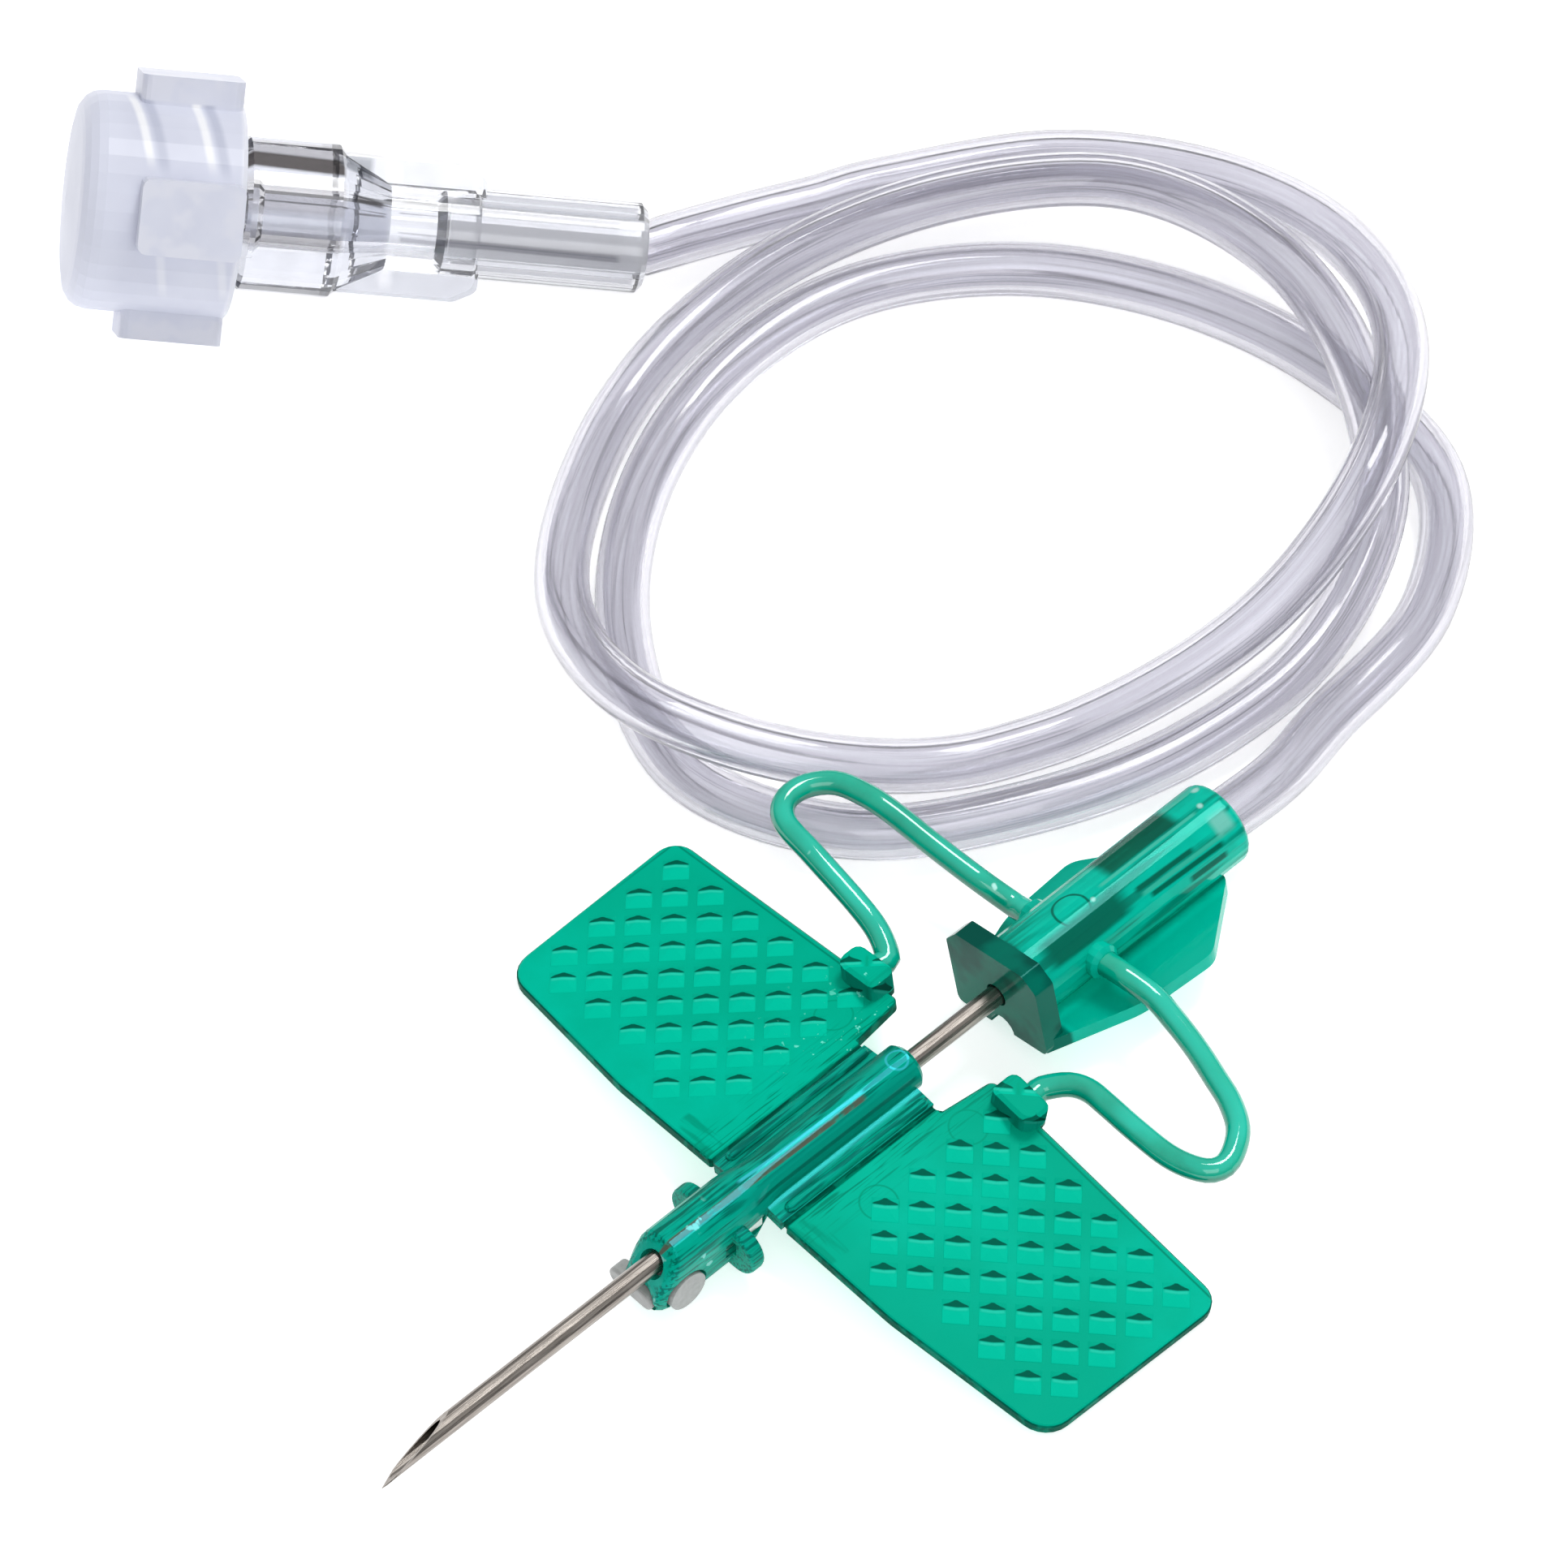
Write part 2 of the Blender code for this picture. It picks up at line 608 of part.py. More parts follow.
def tube_object(name, route, diameter, step, resolution, mat):
    curve = bpy.data.curves.new(name, "CURVE")
    curve.dimensions = "3D"
    curve.bevel_depth = diameter / 2
    curve.bevel_resolution = resolution
    curve.use_fill_caps = True
    points = smooth_line(route, step)
    for place in points:
        place.z = max(place.z, diameter / 2 + FLOOR_FIT)
    spline = curve.splines.new("POLY")
    spline.points.add(len(points) - 1)
    for point, place in zip(spline.points, points):
        point.co = (*place, 1)
    spline.use_smooth = True
    curve.materials.append(mat)
    obj = bpy.data.objects.new(name, curve)
    bpy.context.scene.collection.objects.link(obj)
    return obj


# Tether bends as (reach from the needle, distance behind the wing's rear edge, height over the needle)
RIGHT_BENDS = (
    (0.0086, 0.0027, 0.0003), (0.0111, 0.0036, 0.0005), (0.0150, 0.0040, 0.0006), (0.0184, 0.0042, 0.0006),
    (0.0201, 0.0050, 0.0006), (0.0202, 0.0066, 0.0006), (0.0189, 0.0083, 0.0006), (0.0166, 0.0097, 0.0006),
    (0.0125, 0.0109, 0.0008), (0.0078, 0.0116, 0.0010),
)
LEFT_BENDS = (
    (0.0084, 0.0025, 0.0002), (0.0110, 0.0027, 0.0006), (0.0163, 0.0031, 0.0008), (0.0195, 0.0036, 0.0009),
    (0.0208, 0.0048, 0.0009), (0.0208, 0.0066, 0.0009), (0.0196, 0.0083, 0.0008), (0.0176, 0.0091, 0.0006),
    (0.0130, 0.0096, 0.0001), (0.0080, 0.0100, -0.0004),
)


def build_tether(name, side, bends, mat):
    lug = NEEDLE_FRAME @ wing_frame(side) @ Vector((side * (LUG_INNER + LUG_WIDTH / 2), 0, LUG_HEIGHT * 0.6))
    rear = Y_WING_REAR + LUG_PAST_EDGE + HINGE_GAP
    route = [Vector((lug.x, rear, lug.z)), Vector((lug.x, rear + TETHER_OD * 0.35, lug.z))]
    route += [Vector((side * x, Y_WING_REAR + y, AXIS_H + z)) for x, y, z in bends]
    boss = Y_FLANGE + BOSS_BACK
    route.append(HUB_FRAME @ Vector((side * (BOSS_REACH + 0.0016), boss, 0)))
    route.append(HUB_FRAME @ Vector((side * (BOSS_REACH + HINGE_GAP), boss, 0)))
    return tube_object(name, route, TETHER_OD, TETHER_OD * 0.7, 2, mat)


def connector_stations():
    cone = SLEEVE_LENGTH + CONE_LENGTH
    collar = cone + COLLAR_LENGTH
    return cone, collar, collar + NECK_LENGTH


# The connector lies on the mouth of its sleeve and on two of the cap's lugs.
def connector_frame():
    cone, collar, neck = connector_stations()
    lug_drop = (CAP_LUG_REACH + CAP_LUG_WIDTH / 2) * math.sqrt(0.5)
    tilt = math.asin((lug_drop - SLEEVE_OD / 2) / (collar + CAP_GAP + CAP_LUG_ROUND))
    height = SLEEVE_OD / 2 * math.cos(tilt) + FLOOR_FIT - MOUTH_ROUND * math.sin(tilt)
    turn = Matrix.Rotation(CONNECTOR_HEADING - math.pi / 2, 4, "Z") @ Matrix.Rotation(tilt, 4, "X")
    return Matrix.Translation((CONNECTOR_X, CONNECTOR_Y, height)) @ turn


# Connector: tube sleeve with two grip ribs, cone, collar and threaded luer neck
def build_connector(mat):
    cone, collar, neck = connector_stations()
    sleeve = SLEEVE_OD / 2
    step = sleeve + SLEEVE_STEP_RISE
    soft = MOUTH_ROUND
    outer = [
        (sleeve - soft, 0), (sleeve, soft), (sleeve, SLEEVE_STEP), (step, SLEEVE_STEP + 0.0002), (step, SLEEVE_LENGTH),
        (COLLAR_OD / 2 - soft, cone), (COLLAR_OD / 2, cone + soft), (COLLAR_OD / 2, collar - soft),
        (COLLAR_OD / 2 - soft, collar), (NECK_OD / 2, collar), (NECK_OD / 2, neck - 0.0003), (NECK_OD / 2 - 0.0003, neck),
    ]
    obj = add_object("luer_connector", lathe([(0, 0), *outer, (0, neck)], 32), mat, connector_frame())
    for number, angle in enumerate((math.radians(45), math.radians(225))):
        turn = Matrix.Rotation(angle, 4, "Y")
        crest = rounded([
            (GRIP_RIB_START, 0.001, 0), (GRIP_RIB_START, GRIP_RIB_REACH - 0.0008, 0.0007),
            (GRIP_RIB_START + 0.0016, GRIP_RIB_REACH, 0.001), (cone + 0.0012, GRIP_RIB_REACH, 0), (cone + 0.0012, 0.001, 0),
        ], 3)
        rib = prism(crest, -GRIP_RIB_WIDTH / 2, GRIP_RIB_WIDTH / 2, lambda u, v, w: (w, u, v))
        join(obj, f"grip_rib_{number}", moved(rib, turn))
        ear = block((-0.0011, neck - NECK_EAR_LENGTH - 0.0004, NECK_OD / 4), (0.0011, neck - 0.0004, NECK_EAR_REACH))
        join(obj, f"neck_ear_{number}", moved(ear, turn))
    seat = TUBE_OD / 2 + TUBE_FIT
    luer = neck - LUER_DEPTH
    bore = [(0, -0.001), (seat, -0.001), (seat, SLEEVE_SEAT), (LUMEN / 2, SLEEVE_SEAT + 0.0006), (LUMEN / 2, luer),
            (LUER_BORE / 2 - 0.0002, luer + 0.0004), (LUER_BORE / 2, neck + 0.001), (0, neck + 0.001)]
    cut(obj, "connector_bore", lathe(bore, 24))
    return obj


# Cap: a round cup with a domed end, four lugs at its mouth and a male cone inside
def build_cap(mat):
    cone, collar, neck = connector_stations()
    mouth = collar + CAP_GAP
    end = mouth + CAP_LENGTH
    radius = CAP_OD / 2
    dome = [(radius - CAP_ROUND * (1 - math.cos(a)), end - CAP_ROUND * (1 - math.sin(a)))
            for a in [math.pi / 2 * k / 4 for k in range(5)]]
    inner = radius - CAP_WALL
    pin = LUER_BORE / 2 - 0.0002 - CAP_PIN_FIT
    floor = end - CAP_END_WALL
    profile = [
        (inner, mouth), (radius - 0.0003, mouth), (radius, mouth + 0.0003), *dome, (0, end + 0.0004), (0, floor - CAP_PIN_LENGTH),
        (pin - 0.0002, floor - CAP_PIN_LENGTH), (pin, floor - CAP_PIN_LENGTH + 0.0004), (pin, floor), (inner, floor),
    ]
    obj = add_object("luer_cap", lathe(profile, 36, closed=True), mat, connector_frame())
    for k in range(4):
        low, high = mouth + 0.0002, mouth + 0.0002 + CAP_LUG_LENGTH
        half = CAP_LUG_WIDTH / 2
        foot = rounded([(-half, low, CAP_LUG_ROUND), (half, low, CAP_LUG_ROUND), (half, high, CAP_LUG_ROUND),
                        (-half, high, CAP_LUG_ROUND)], 3)
        lug = prism(foot, radius - CAP_WALL * 0.7, CAP_LUG_REACH, flat_plate)
        join(obj, f"cap_lug_{k}", moved(lug, Matrix.Rotation(math.radians(45 + 90 * k), 4, "Y")))
    return obj


# The tube leaves the hub, lies in two and a half turns and comes back to the connector's sleeve
TUBE_ROUTE = (
    (-0.0008, 0.0445, 0.0034),
    (-0.0023, 0.0505, 0.0023),
    (-0.0046, 0.0623, 0.0020),
    (-0.0121, 0.0709, 0.0020),
    (-0.0237, 0.0722, 0.0020),
    (-0.0353, 0.0691, 0.0020),
    (-0.0452, 0.0624, 0.0020),
    (-0.0514, 0.0524, 0.0020),
    (-0.0520, 0.0408, 0.0020),
    (-0.0477, 0.0297, 0.0020),
    (-0.0396, 0.0209, 0.0020),
    (-0.0289, 0.0165, 0.0020),
    (-0.0180, 0.0210, 0.0020),
    (-0.0112, 0.0308, 0.0020),
    (-0.0074, 0.0423, 0.0020),
    (-0.0069, 0.0541, 0.0030),
    (-0.0116, 0.0647, 0.0050),
    (-0.0212, 0.0715, 0.0062),
    (-0.0326, 0.0748, 0.0051),
    (-0.0438, 0.0722, 0.0043),
    (-0.0514, 0.0632, 0.0040),
    (-0.0557, 0.0519, 0.0029),
    (-0.0562, 0.0400, 0.0021),
    (-0.0520, 0.0288, 0.0020),
    (-0.0443, 0.0196, 0.0035),
    (-0.0336, 0.0161, 0.0061),
    (-0.0237, 0.0213, 0.0042),
    (-0.0169, 0.0306, 0.0020),
    (-0.0125, 0.0417, 0.0025),
    (-0.0099, 0.0528, 0.0060),
    (-0.0117, 0.0637, 0.0096),
    (-0.0185, 0.0734, 0.0090),
    (-0.0288, 0.0786, 0.0058),
    (-0.0403, 0.0782, 0.0027),
    (-0.0500, 0.0718, 0.0020),
    (-0.0564, 0.0616, 0.0020),
)


def build_tubing(mat):
    hub = NEEDLE_FRAME @ Vector((0, Y_HUB_END - TUBE_SEAT + TUBE_FIT, 0))
    frame = connector_frame()
    route = [hub, hub + Vector((0, TUBE_SEAT * 0.9, 0))]
    route += [Vector(point) for point in TUBE_ROUTE]
    route.append(frame @ Vector((0, -0.0062, 0)))
    route.append(frame @ Vector((0, 0.0005, 0)))
    route.append(frame @ Vector((0, SLEEVE_SEAT / 2, 0)))
    route.append(frame @ Vector((0, SLEEVE_SEAT - TUBE_FIT, 0)))
    return tube_object("tubing", route, TUBE_OD, TUBE_STEP, 2, mat)


green = plastic("wing_green", (0.0, 0.51, 0.37), 0.25, 0.4)
hub_green = plastic("hub_green", (0.0, 0.42, 0.30), 0.18, 0.4)
tether_green = plastic("tether_green", (0.0, 0.50, 0.38), 0.2, 0.3)
steel = plastic("needle_steel", (0.62, 0.58, 0.54), 0.22, 0.0, 1.0)
spring_steel = plastic("spring_steel", (0.72, 0.72, 0.72), 0.25, 0.0, 1.0)
grey = plastic("shutter_grey", (0.52, 0.52, 0.53), 0.45)
clear_pvc = plastic("clear_tube", (0.82, 0.82, 0.86), 0.12, 0.8)
clear_hard = plastic("clear_connector", (0.88, 0.89, 0.93), 0.08, 0.85)
milky = plastic("milky_cap", (0.80, 0.82, 0.90), 0.3, 0.5)

build_cannula(steel)
build_hub(hub_green)
build_guard(green)
build_shutter(grey)
build_spring(spring_steel)
build_wing("wing_right", 1, green)
build_wing("wing_left", -1, green)
build_tether("tether_right", 1, RIGHT_BENDS, tether_green)
build_tether("tether_left", -1, LEFT_BENDS, tether_green)
build_connector(clear_hard)
build_cap(milky)
build_tubing(clear_pvc)
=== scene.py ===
import math

import bmesh
import bpy
from mathutils import Matrix, Vector


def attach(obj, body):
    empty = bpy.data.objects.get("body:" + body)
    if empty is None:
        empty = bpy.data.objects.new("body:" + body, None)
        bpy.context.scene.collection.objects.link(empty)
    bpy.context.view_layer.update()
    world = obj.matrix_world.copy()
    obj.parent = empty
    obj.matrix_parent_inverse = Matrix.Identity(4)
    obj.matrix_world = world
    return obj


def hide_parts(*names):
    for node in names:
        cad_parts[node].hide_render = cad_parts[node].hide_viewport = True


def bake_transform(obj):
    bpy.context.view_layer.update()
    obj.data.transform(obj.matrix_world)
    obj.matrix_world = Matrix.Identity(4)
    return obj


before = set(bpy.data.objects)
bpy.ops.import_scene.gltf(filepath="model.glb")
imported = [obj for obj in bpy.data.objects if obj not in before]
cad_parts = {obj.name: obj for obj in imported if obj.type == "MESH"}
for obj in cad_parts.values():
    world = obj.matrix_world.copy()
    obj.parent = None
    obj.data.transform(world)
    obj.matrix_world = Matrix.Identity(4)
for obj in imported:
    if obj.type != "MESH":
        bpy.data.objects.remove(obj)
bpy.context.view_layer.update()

scene = bpy.context.scene
scene.view_settings.view_transform = "Standard"

# Values shared with the part's source, in metres and radians. Y runs along the needle, and KNURL_START is the
# first pyramid's place on the right wing.
Y_ROOT = -0.0052
Y_GUIDE = 0.0093
Y_WING_REAR = 0.0128
Y_FLANGE = 0.0174
Y_HUB_END = 0.0382
WING_REACH = 0.0262
WING_SET = 0.00045
WING_DROOP = math.radians(8)
WING_THICKNESS = 0.0010
HINGE_REACH = 0.0034
KNURL_PITCH = 0.0024
KNURL_HEIGHT = 0.00055
KNURL_START = (0.00693, Y_WING_REAR - 0.00205)
LUG_MIDDLE = 0.0072
LUG_PAST_EDGE = 0.0008
LUG_HEIGHT = 0.0017
HUB_ROLL = math.radians(-13)
BOSS_BACK = 0.0066
TUBE_OD = 0.0038
TUBE_ID = 0.0024
TETHER_OD = 0.0018
SLEEVE_OD = 0.0063
COLLAR_END = 0.0282
MOUTH_ROUND = 0.0004
CAP_GAP = 0.0003
CAP_LUG_REACH = 0.0091
CAP_LUG_WIDTH = 0.0052
CAP_LUG_ROUND = 0.0006
CONNECTOR_X = -0.0630
CONNECTOR_Y = 0.0447
CONNECTOR_TURN = math.radians(138)
FLOOR_FIT = 0.00002
AXIS_H = WING_SET + WING_THICKNESS / 2 * math.cos(WING_DROOP) + WING_REACH * math.sin(WING_DROOP)

# Where the tube and the tethers run inside what holds them: along the hub, the sleeve and the lugs, and out
# from the hub's axis to its bosses
TUBE_IN_HUB = 0.0057
TUBE_STRAIGHT = 0.0054
SLEEVE_STATIONS = (-0.0002, 0.002, 0.005, 0.009, 0.0137)
LUG_STATIONS = (-0.0008, 0.0003, 0.0009)
LUG_SHARE = 0.6
BOSS_STATIONS = (0.0054, 0.0041, 0.0035)
TETHER_WAIST = 0.93
TETHER_FOOT = 0.07

# The living hinge: its margins at the web's ends, how far each side of its line it bends, and its section as
# (across from its line, upper face, lower face), both measured from the wing's top
HINGE_FRONT_MARGIN = 0.0002
HINGE_REAR_MARGIN = 0.0009
HINGE_SINK = 0.00002
HINGE_SECTION = (
    (-0.00045, 0.0, -0.0009), (-0.00018, -0.00016, -0.0008), (0.0, -0.00024, -0.0007),
    (0.00018, -0.00016, -0.0008), (0.00045, 0.0, -0.0009),
)

# The camera, the lights and the floor
CAMERA_AZIMUTH = math.radians(46.351)
CAMERA_ELEVATION = math.radians(53.427)
CAMERA_TARGET = (-0.024654, 0.021577, 0)
CAMERA_DISTANCE = 0.9
CAMERA_LENS = 307.7
LIGHT_TARGET = (-0.02, 0.02, 0)
HORIZON = (0.13, 0.13, 0.14)
WHITE_FROM = 0.55
WORLD_STRENGTH = 0.62
FLOOR_HALF = 2.0

# How finely the scene's own pieces are made
TUBE_STEP = 0.0012
TUBE_SIDES = 28
TETHER_STEP = 0.00045
TETHER_SIDES = 20
HINGE_STEPS = 24
CURVE_STEPS = 20
SHARP_ANGLE = math.radians(40)

# The materials' patterns are painted in each piece's own frame, in millimetres and degrees. DEGREES is the
# degrees in a radian, and TURN the radians in a full turn. An ARC is the length of one degree round a piece, and
# the cap's thread rises by THREAD_RISE in it.
MM = 1000
IN_MM = (MM, MM, MM)
DEGREES = math.degrees(1)
TURN = 6.28318
PYRAMID_LEAN = 0.16
GUIDE_ARC = 0.03
HUB_ARC = 0.053
CAP_ARC = 0.13
THREAD_RISE = 0.0242

NEEDLE_FRAME = Matrix.Translation((0, 0, AXIS_H))
HUB_FRAME = NEEDLE_FRAME @ Matrix.Rotation(HUB_ROLL, 4, "Y")


def wing_frame(side):
    """A wing's frame: its middle plane, drooping from the needle's line."""
    return NEEDLE_FRAME @ Matrix.Translation((0, 0, -WING_SET)) @ Matrix.Rotation(side * WING_DROOP, 4, "Y")


def connector_frame():
    """The connector lies on the mouth of its sleeve and on two of the cap's lugs."""
    lug_drop = (CAP_LUG_REACH + CAP_LUG_WIDTH / 2) * math.sqrt(0.5)
    tilt = math.asin((lug_drop - SLEEVE_OD / 2) / (COLLAR_END + CAP_GAP + CAP_LUG_ROUND))
    height = SLEEVE_OD / 2 * math.cos(tilt) + FLOOR_FIT - MOUTH_ROUND * math.sin(tilt)
    turn = Matrix.Rotation(CONNECTOR_TURN, 4, "Z") @ Matrix.Rotation(tilt, 4, "X")
    return Matrix.Translation((CONNECTOR_X, CONNECTOR_Y, height)) @ turn


CONNECTOR = connector_frame()


# Camera and light
def add_camera():
    """The photo's view: from above, over the wings, with a long lens."""
    data = bpy.data.cameras.new("camera")
    camera = bpy.data.objects.new("camera", data)
    scene.collection.objects.link(camera)
    level = math.cos(CAMERA_ELEVATION)
    side, front = math.sin(CAMERA_AZIMUTH) * level, -math.cos(CAMERA_AZIMUTH) * level
    toward = Vector((side, front, math.sin(CAMERA_ELEVATION)))
    camera.location = Vector(CAMERA_TARGET) + toward * CAMERA_DISTANCE
    camera.rotation_euler = (-toward).to_track_quat("-Z", "Y").to_euler()
    data.sensor_width = 36
    data.lens = CAMERA_LENS
    data.clip_start = 0.05
    data.clip_end = 10
    scene.camera = camera


def add_area(name, place, size, power):
    """A square light that faces the object."""
    data = bpy.data.lights.new(name, "AREA")
    data.size = size
    data.energy = power
    light = bpy.data.objects.new(name, data)
    scene.collection.objects.link(light)
    light.location = place
    light.rotation_euler = (Vector(LIGHT_TARGET) - Vector(place)).to_track_quat("-Z", "Y").to_euler()


def add_world():
    """White light from above, dark along the horizon and below it."""
    world = bpy.data.worlds.new("studio")
    scene.world = world
    world.use_nodes = True
    tree = world.node_tree
    background = tree.nodes["Background"]
    coords = tree.nodes.new("ShaderNodeTexCoord")
    split = tree.nodes.new("ShaderNodeSeparateXYZ")
    tree.links.new(coords.outputs["Generated"], split.inputs[0])
    ramp = tree.nodes.new("ShaderNodeValToRGB")
    low, high = ramp.color_ramp.elements
    low.position = 0.0
    low.color = (*HORIZON, 1)
    high.position = WHITE_FROM
    high.color = (1, 1, 1, 1)
    tree.links.new(split.outputs["Z"], ramp.inputs[0])
    tree.links.new(ramp.outputs[0], background.inputs["Color"])
    background.inputs["Strength"].default_value = WORLD_STRENGTH


# Material helpers
class Mat:
    """A Principled material that is painted in layers: colour holds the last layer's output."""

    def __init__(self, name, **values):
        self.mat = bpy.data.materials.new(name)
        self.mat.use_nodes = True
        self.tree = self.mat.node_tree
        self.bsdf = self.tree.nodes["Principled BSDF"]
        for key, value in values.items():
            self.bsdf.inputs[key.replace("_", " ")].default_value = value
        self.colour = None

    def node(self, kind, **values):
        """A shader node. Each value sets its property, links to its input or sets that input's value."""
        made = self.tree.nodes.new("ShaderNode" + kind)
        for key, value in values.items():
            if hasattr(made, key):
                setattr(made, key, value)
            elif isinstance(value, bpy.types.NodeSocket):
                self.tree.links.new(value, made.inputs[key.replace("_", " ")])
            else:
                made.inputs[key.replace("_", " ")].default_value = value
        return made

    def finished(self):
        """The material, with the last layer as its colour."""
        self.link(self.colour, "Base Color")
        return self.mat

    def link(self, output, key):
        self.tree.links.new(output, self.bsdf.inputs[key])

    def position(self):
        return self.node("TexCoord").outputs["Object"]

    def placed(self, matrix, scale):
        """Coordinates of the given frame, stretched by scale."""
        turned = self.node("Mapping", vector_type="TEXTURE")
        turned.inputs["Location"].default_value = matrix.to_translation()
        turned.inputs["Rotation"].default_value = matrix.to_euler()
        self.tree.links.new(self.position(), turned.inputs["Vector"])
        stretched = self.node("VectorMath", operation="MULTIPLY")
        self.tree.links.new(turned.outputs[0], stretched.inputs[0])
        stretched.inputs[1].default_value = scale
        return stretched.outputs[0]

    def noise(self, scale, detail, vector=None, roughness=0.5):
        made = self.node("TexNoise", Scale=scale, Detail=detail, Roughness=roughness)
        self.tree.links.new(vector or self.position(), made.inputs["Vector"])
        return made.outputs["Fac"]

    def math(self, operation, first, second=0.0, third=None):
        made = self.node("Math", operation=operation)
        for slot, value in enumerate((first, second, third)):
            if value is None:
                continue
            if isinstance(value, bpy.types.NodeSocket):
                self.tree.links.new(value, made.inputs[slot])
            else:
                made.inputs[slot].default_value = value
        return made.outputs[0]

    def ramp(self, factor, *stops):
        made = self.node("ValToRGB")
        elements = made.color_ramp.elements
        while len(elements) < len(stops):
            elements.new(0.5)
        for element, (place, colour) in zip(elements, stops):
            element.position = place
            element.color = (*colour, 1)
        self.tree.links.new(factor, made.inputs[0])
        return made.outputs[0]

    def step(self, value, start, stop):
        """0 to 1 smoothly as the value goes from start to stop."""
        made = self.node("MapRange", interpolation_type="SMOOTHSTEP")
        self.tree.links.new(value, made.inputs["Value"])
        made.inputs["From Min"].default_value = start
        made.inputs["From Max"].default_value = stop
        return made.outputs[0]

    def both(self, *masks):
        """Where all the masks are 1."""
        total = masks[0]
        for mask in masks[1:]:
            total = self.math("MULTIPLY", total, mask)
        return total

    def band(self, value, low, high, soft):
        """1 between low and high, with soft edges."""
        return self.both(self.step(value, low - soft, low + soft), self.step(value, high + soft, high - soft))

    def paint(self, tone, *masks):
        """A layer of the screen colour where all the masks are 1."""
        mask = self.both(*masks)
        made = self.node("Mix", data_type="RGBA")
        self.tree.links.new(mask, made.inputs[0])
        self.tree.links.new(self.colour, made.inputs[6])
        made.inputs[7].default_value = (*rgb(*tone), 1)
        self.colour = made.outputs[2]

    def xyz(self, vector):
        made = self.node("SeparateXYZ")
        self.tree.links.new(vector, made.inputs[0])
        return made.outputs[0], made.outputs[1], made.outputs[2]

    def hypotenuse(self, a, b):
        return self.math("SQRT", self.math("ADD", self.math("MULTIPLY", a, a), self.math("MULTIPLY", b, b)))

    def around(self, matrix):
        """Distance along the frame's axis, angle about it from its top, and distance from it."""
        x, y, z = self.xyz(self.placed(matrix, IN_MM))
        angle = self.math("MULTIPLY", self.math("ARCTAN2", x, z), DEGREES)
        return y, angle, self.hypotenuse(x, z)

    def facing(self, matrix):
        """How much the surface faces the frame's top, from -1 to 1."""
        made = self.node("VectorMath", operation="DOT_PRODUCT")
        self.tree.links.new(self.node("TexCoord").outputs["Normal"], made.inputs[0])
        made.inputs[1].default_value = matrix.to_3x3() @ Vector((0, 0, 1))
        return made.outputs["Value"]

    def turned_normal(self, matrix, share):
        """The surface's normal, turned by a share towards the frame's top."""
        mix = self.node("Mix", data_type="VECTOR")
        self.tree.links.new(share, mix.inputs[0])
        self.tree.links.new(self.node("TexCoord").outputs["Normal"], mix.inputs[4])
        mix.inputs[5].default_value = matrix.to_3x3() @ Vector((0, 0, 1))
        turned = self.node("VectorTransform", vector_type="NORMAL", convert_from="OBJECT", convert_to="WORLD")
        self.tree.links.new(mix.outputs[1], turned.inputs[0])
        unit = self.node("VectorMath", operation="NORMALIZE")
        self.tree.links.new(turned.outputs[0], unit.inputs[0])
        return unit.outputs[0]

    def streak(self, along, angle, start, stop, width, soft):
        """A line on a round piece between two (distance, angle) points."""
        slope = (stop[1] - start[1]) / (stop[0] - start[0])
        middle = self.math("MULTIPLY_ADD", along, slope, start[1] - slope * start[0])
        off = self.math("ABSOLUTE", self.math("SUBTRACT", angle, middle))
        return self.both(self.step(off, width + soft, width), self.band(along, start[0], stop[0], 0.3))

    def ring(self, u, v, centre, radius, width):
        """A thin circle, or a dot where the radius is 0."""
        reach = self.hypotenuse(self.math("SUBTRACT", u, centre[0]), self.math("SUBTRACT", v, centre[1]))
        return self.step(self.math("ABSOLUTE", self.math("SUBTRACT", reach, radius)), width, width * 0.3)

    def bump(self, height, strength, distance, normal=None):
        """The surface's normal, or the given one, made uneven by the height."""
        made = self.node("Bump", Strength=strength, Distance=distance, Height=height)
        if normal is not None:
            self.tree.links.new(normal, made.inputs["Normal"])
        return made.outputs[0]


def rgb(red, green, blue):
    """Linear values of a screen colour."""
    return tuple(((v / 255 + 0.055) / 1.055) ** 2.4 if v > 10 else v / 255 / 12.92 for v in (red, green, blue))


def moulded(m, light, dark, roughness, gloss, normal=None, wave=0.25):
    """Moulded plastic: cloudy colour, faint flow marks and a slightly uneven gloss."""
    cloud = m.noise(420, 4.0, roughness=0.55)
    flow = m.noise(1.0, 3.0, m.placed(Matrix.Identity(4), (900, 180, 900)))
    m.link(m.math("MULTIPLY_ADD", flow, 0.1, roughness - 0.05), "Roughness")
    m.bsdf.inputs["Specular IOR Level"].default_value = gloss
    m.bsdf.inputs["Specular Tint"].default_value = (0.25, 1.0, 0.95, 1)
    fine = m.noise(5200, 2.0)
    height = m.math("ADD", m.math("MULTIPLY", flow, 0.8), m.math("MULTIPLY", fine, 0.2))
    m.link(m.bump(height, wave, 0.00006, normal), "Normal")
    m.colour = m.ramp(cloud, (0.3, rgb(*dark)), (0.7, rgb(*light)))


